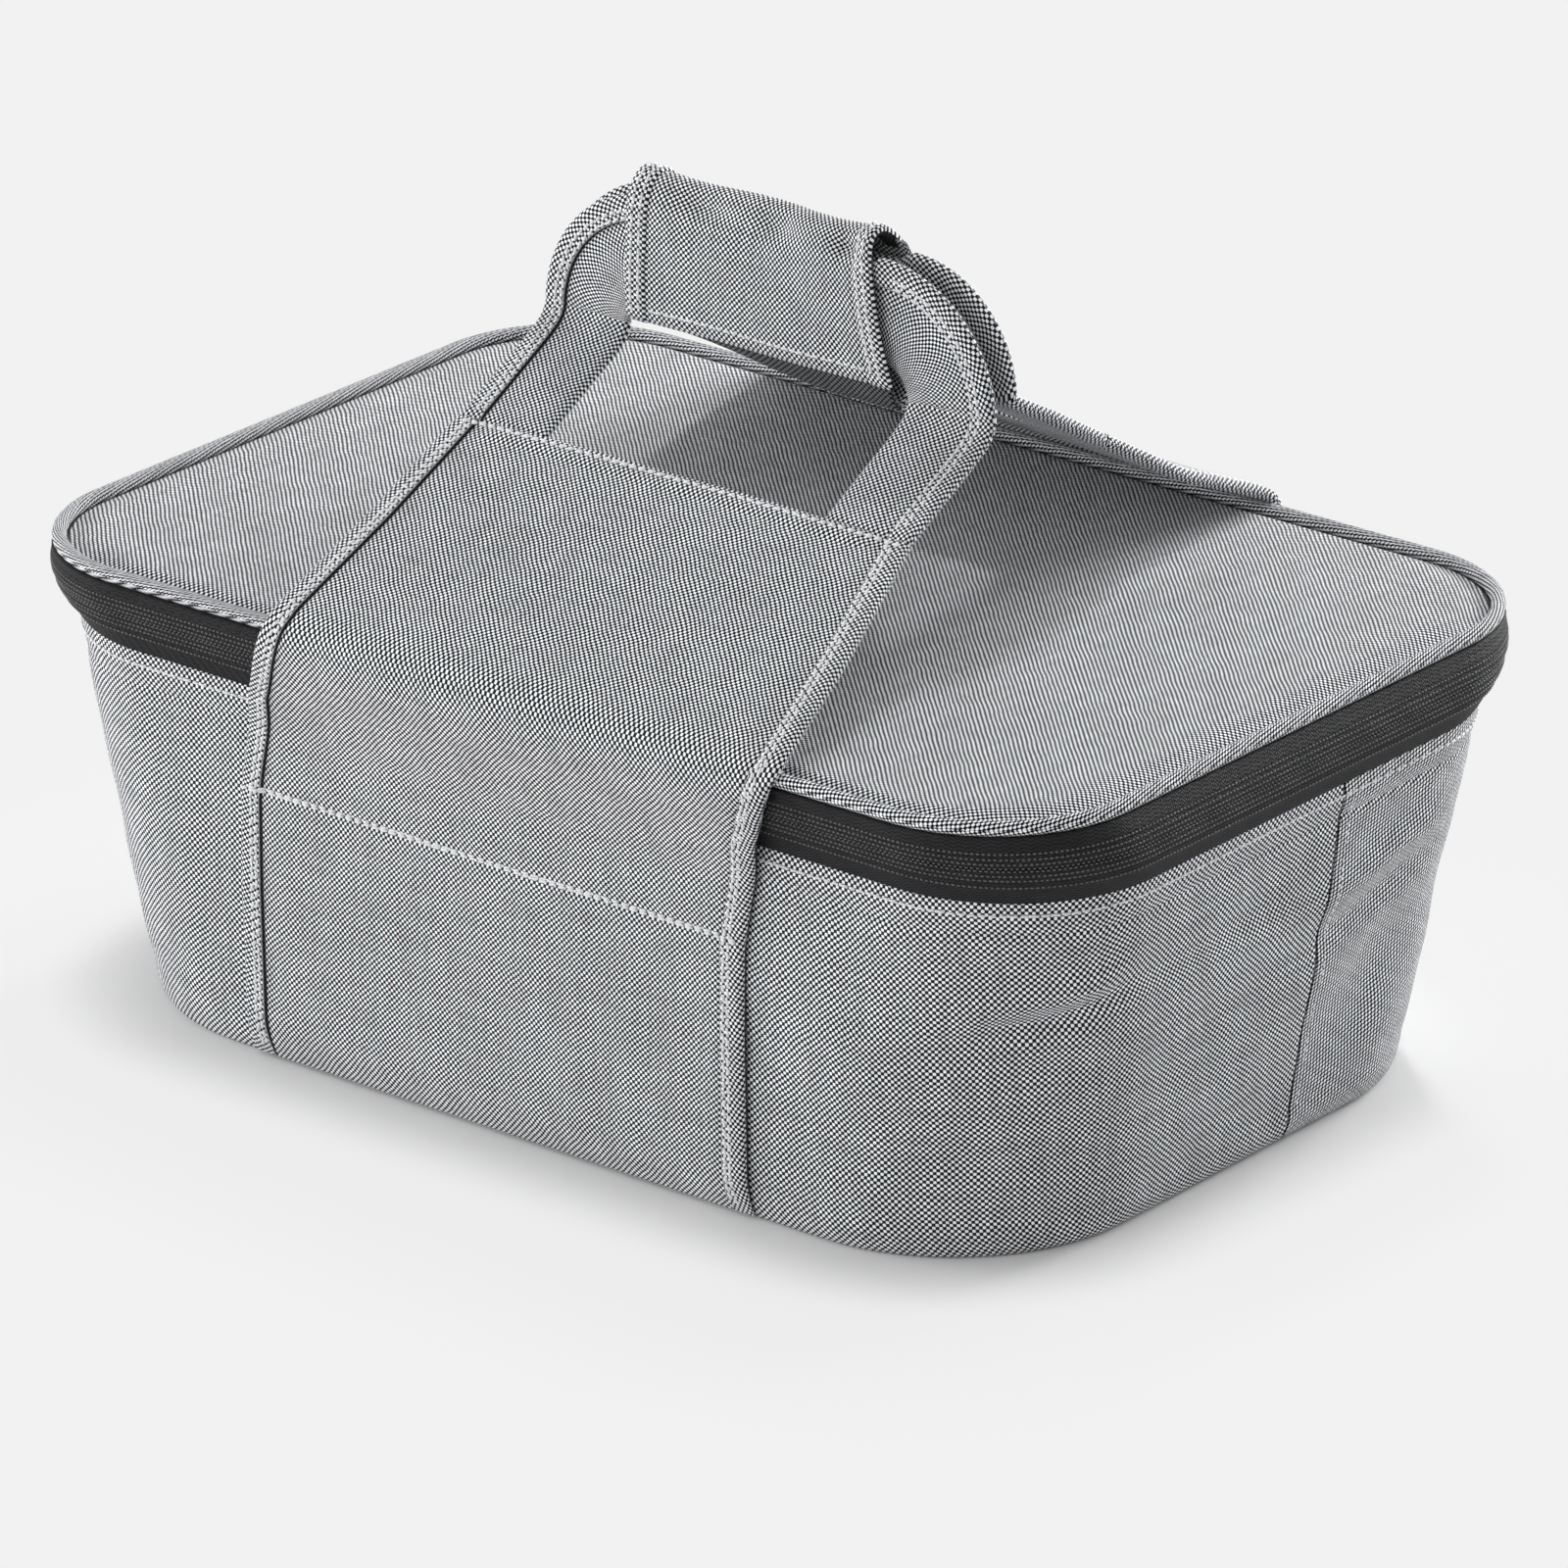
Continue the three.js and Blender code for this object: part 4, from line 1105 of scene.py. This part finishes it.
def pillow(name, low, high, mat, puff, n=14):
    """Closed pad with rounded edges between two corners."""
    size = np.subtract(high, low)
    t = np.linspace(-1, 1, n)
    shell = Shell()
    for axis in range(3):
        flat = [(axis + 1) % 3, (axis + 2) % 3]
        for sign in (-1, 1):
            p = np.zeros((n, n, 3))
            p[..., axis] = sign
            p[..., flat] = spread(t[:, None], t)
            q = np.clip(p * (1 - puff) + unit(p) * puff * 1.2, -1, 1)
            shell.grid(low + (q + 1) / 2 * size, (low + (p + 1) / 2 * size)[..., flat])
    return shell.make(name, [mat])


def add_grip_inside():
    pad = pillow("grip_padding", (-42.0, -0.3, 236.0), (42.0, 5.1, 262.5), PAD, 0.35)
    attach(pad, "rear_strap")
    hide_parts("grip_pad")
    x, z = np.linspace(-42.0, 42.0, 43)[:, None], np.linspace(228.6, 232.3, 6)
    for name, node, body, y in (("hook_patch", "hook_strip", "grip", -4.7),
                                ("loop_patch", "loop_strip", "rear_strap", -3.9)):
        face = spread(x, y - 0.38 + 0.12 * np.sin(x * 3.1) * np.sin(z * 4.0), z)
        obj = slab(face, spread(x, y + 0.38, z), face[..., [0, 2]], name, [HOOKS])
        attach(obj, body)
        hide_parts(node)


# Wall stitches

def add_wall_stitches(outer):
    beads = Beads()
    n = outward(outer)
    k = int(np.argmin(np.abs(WALL_Z - 122.0)))
    beads.row(close_ring(outer[:, k] + n[:, k] * 0.15), close_ring(n[:, k]), pitch=3.2, long=1.3,
              wide=0.45, high=0.45)
    for i in (SEAM_R + 1, SEAM_L - 1):
        beads.row(outer[i, 8:-3] + n[i, 8:-3] * 0.12, n[i, 8:-3], pitch=3.1, long=0.9, wide=0.25,
                  high=0.2)
    obj = beads.make("wall_stitching", THREAD)
    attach(obj, "carrier")


# Metal and board keep their CAD shape and get a finish.

def finish_nodes():
    for mat, nodes in ((BOARD, ("base_board",)),
                       (METAL, ("zip_stop_left", "zip_stop_right", "front_slider", "rear_slider",
                                "front_pull", "rear_pull"))):
        for node in nodes:
            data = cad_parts[node].data
            data.materials.clear()
            data.materials.append(mat)


# Floor, backdrop and light

BACKDROP = (0.885, 0.885, 0.885, 1)
FLOOR_HALF_M = 12.0
LAMP_AIM_M = (0.0, 0.0, 0.12)


def add_stage():
    """Pale floor: shaded close to the bag, and the even tone of the backdrop away from it."""
    g = Graph("pale_floor")
    at = g.place()
    diffuse = g.node("ShaderNodeBsdfDiffuse", Color=g.mottle(at, 3.0, 0.79, 0.81))
    glow = g.node("ShaderNodeEmission", Color=BACKDROP, Strength=1.0)
    x, y = (g.math("MAXIMUM", g.math("SUBTRACT", g.math("ABSOLUTE", axis),
                                     (BASE[k] - BASE[2]) * MM), 0.0)
            for k, axis in enumerate(g.axes(at)))
    far = g.math("SQRT", g.math("ADD", g.math("MULTIPLY", x, x), g.math("MULTIPLY", y, y)))
    far = g.math("SUBTRACT", far, BASE[2] * MM)
    near = g.span(far, 0.003, 0.045, 0.0, 0.86, soft=True)
    rest = g.span(far, 0.03, 0.16, 0.0, 0.14, soft=True)
    g.tree.nodes.remove(g.tree.nodes["Principled BSDF"])
    mesh = bpy.data.meshes.new("floor")
    corners = [(FLOOR_HALF_M * i, FLOOR_HALF_M * j, 0)
               for i, j in ((-1, -1), (1, -1), (1, 1), (-1, 1))]
    mesh.from_pydata(corners, [], [(0, 1, 2, 3)])
    mesh.materials.append(g.seen(diffuse, glow, g.math("ADD", near, rest)))
    floor = linked("floor", mesh)


def add_light(name, place, size, power):
    data = bpy.data.lights.new(name, "AREA")
    data.shape = "DISK"
    data.size = size
    data.energy = power
    lamp = linked(name, data)
    lamp.location = place
    way = Vector(LAMP_AIM_M) - Vector(place)
    lamp.rotation_euler = way.to_track_quat("-Z", "Y").to_euler()


def add_world():
    scene = bpy.context.scene
    g = Graph("studio", bpy.data.worlds)
    sky = g.fill(g.tree.nodes["Background"], Color=(1.0, 1.0, 1.0, 1), Strength=0.57)
    scene.world = g.seen(sky, g.node("ShaderNodeBackground", Color=BACKDROP, Strength=1.0))
    scene.view_settings.view_transform = "Standard"
    add_light("key_overhead", (-0.31, 0.80, 1.60), 0.22, 8.6)
    add_light("fill_front", (-0.6, -1.95, 0.5), 1.6, 14.0)
    add_light("fill_left", (-1.9, -0.9, 0.4), 1.2, 24.0)
    add_light("fill_right", (0.35, 2.3, 0.8), 1.2, 62.0)


add_camera()
WALLS = add_walls()
add_base()
add_liner()
add_rim()
add_zip()
add_lid()
for SIDE in (FRONT, REAR):
    add_handle(SIDE, add_strap(SIDE))
add_grip()
add_wall_stitches(WALLS)
finish_nodes()
add_stage()
add_world()

bpy.context.view_layer.update()
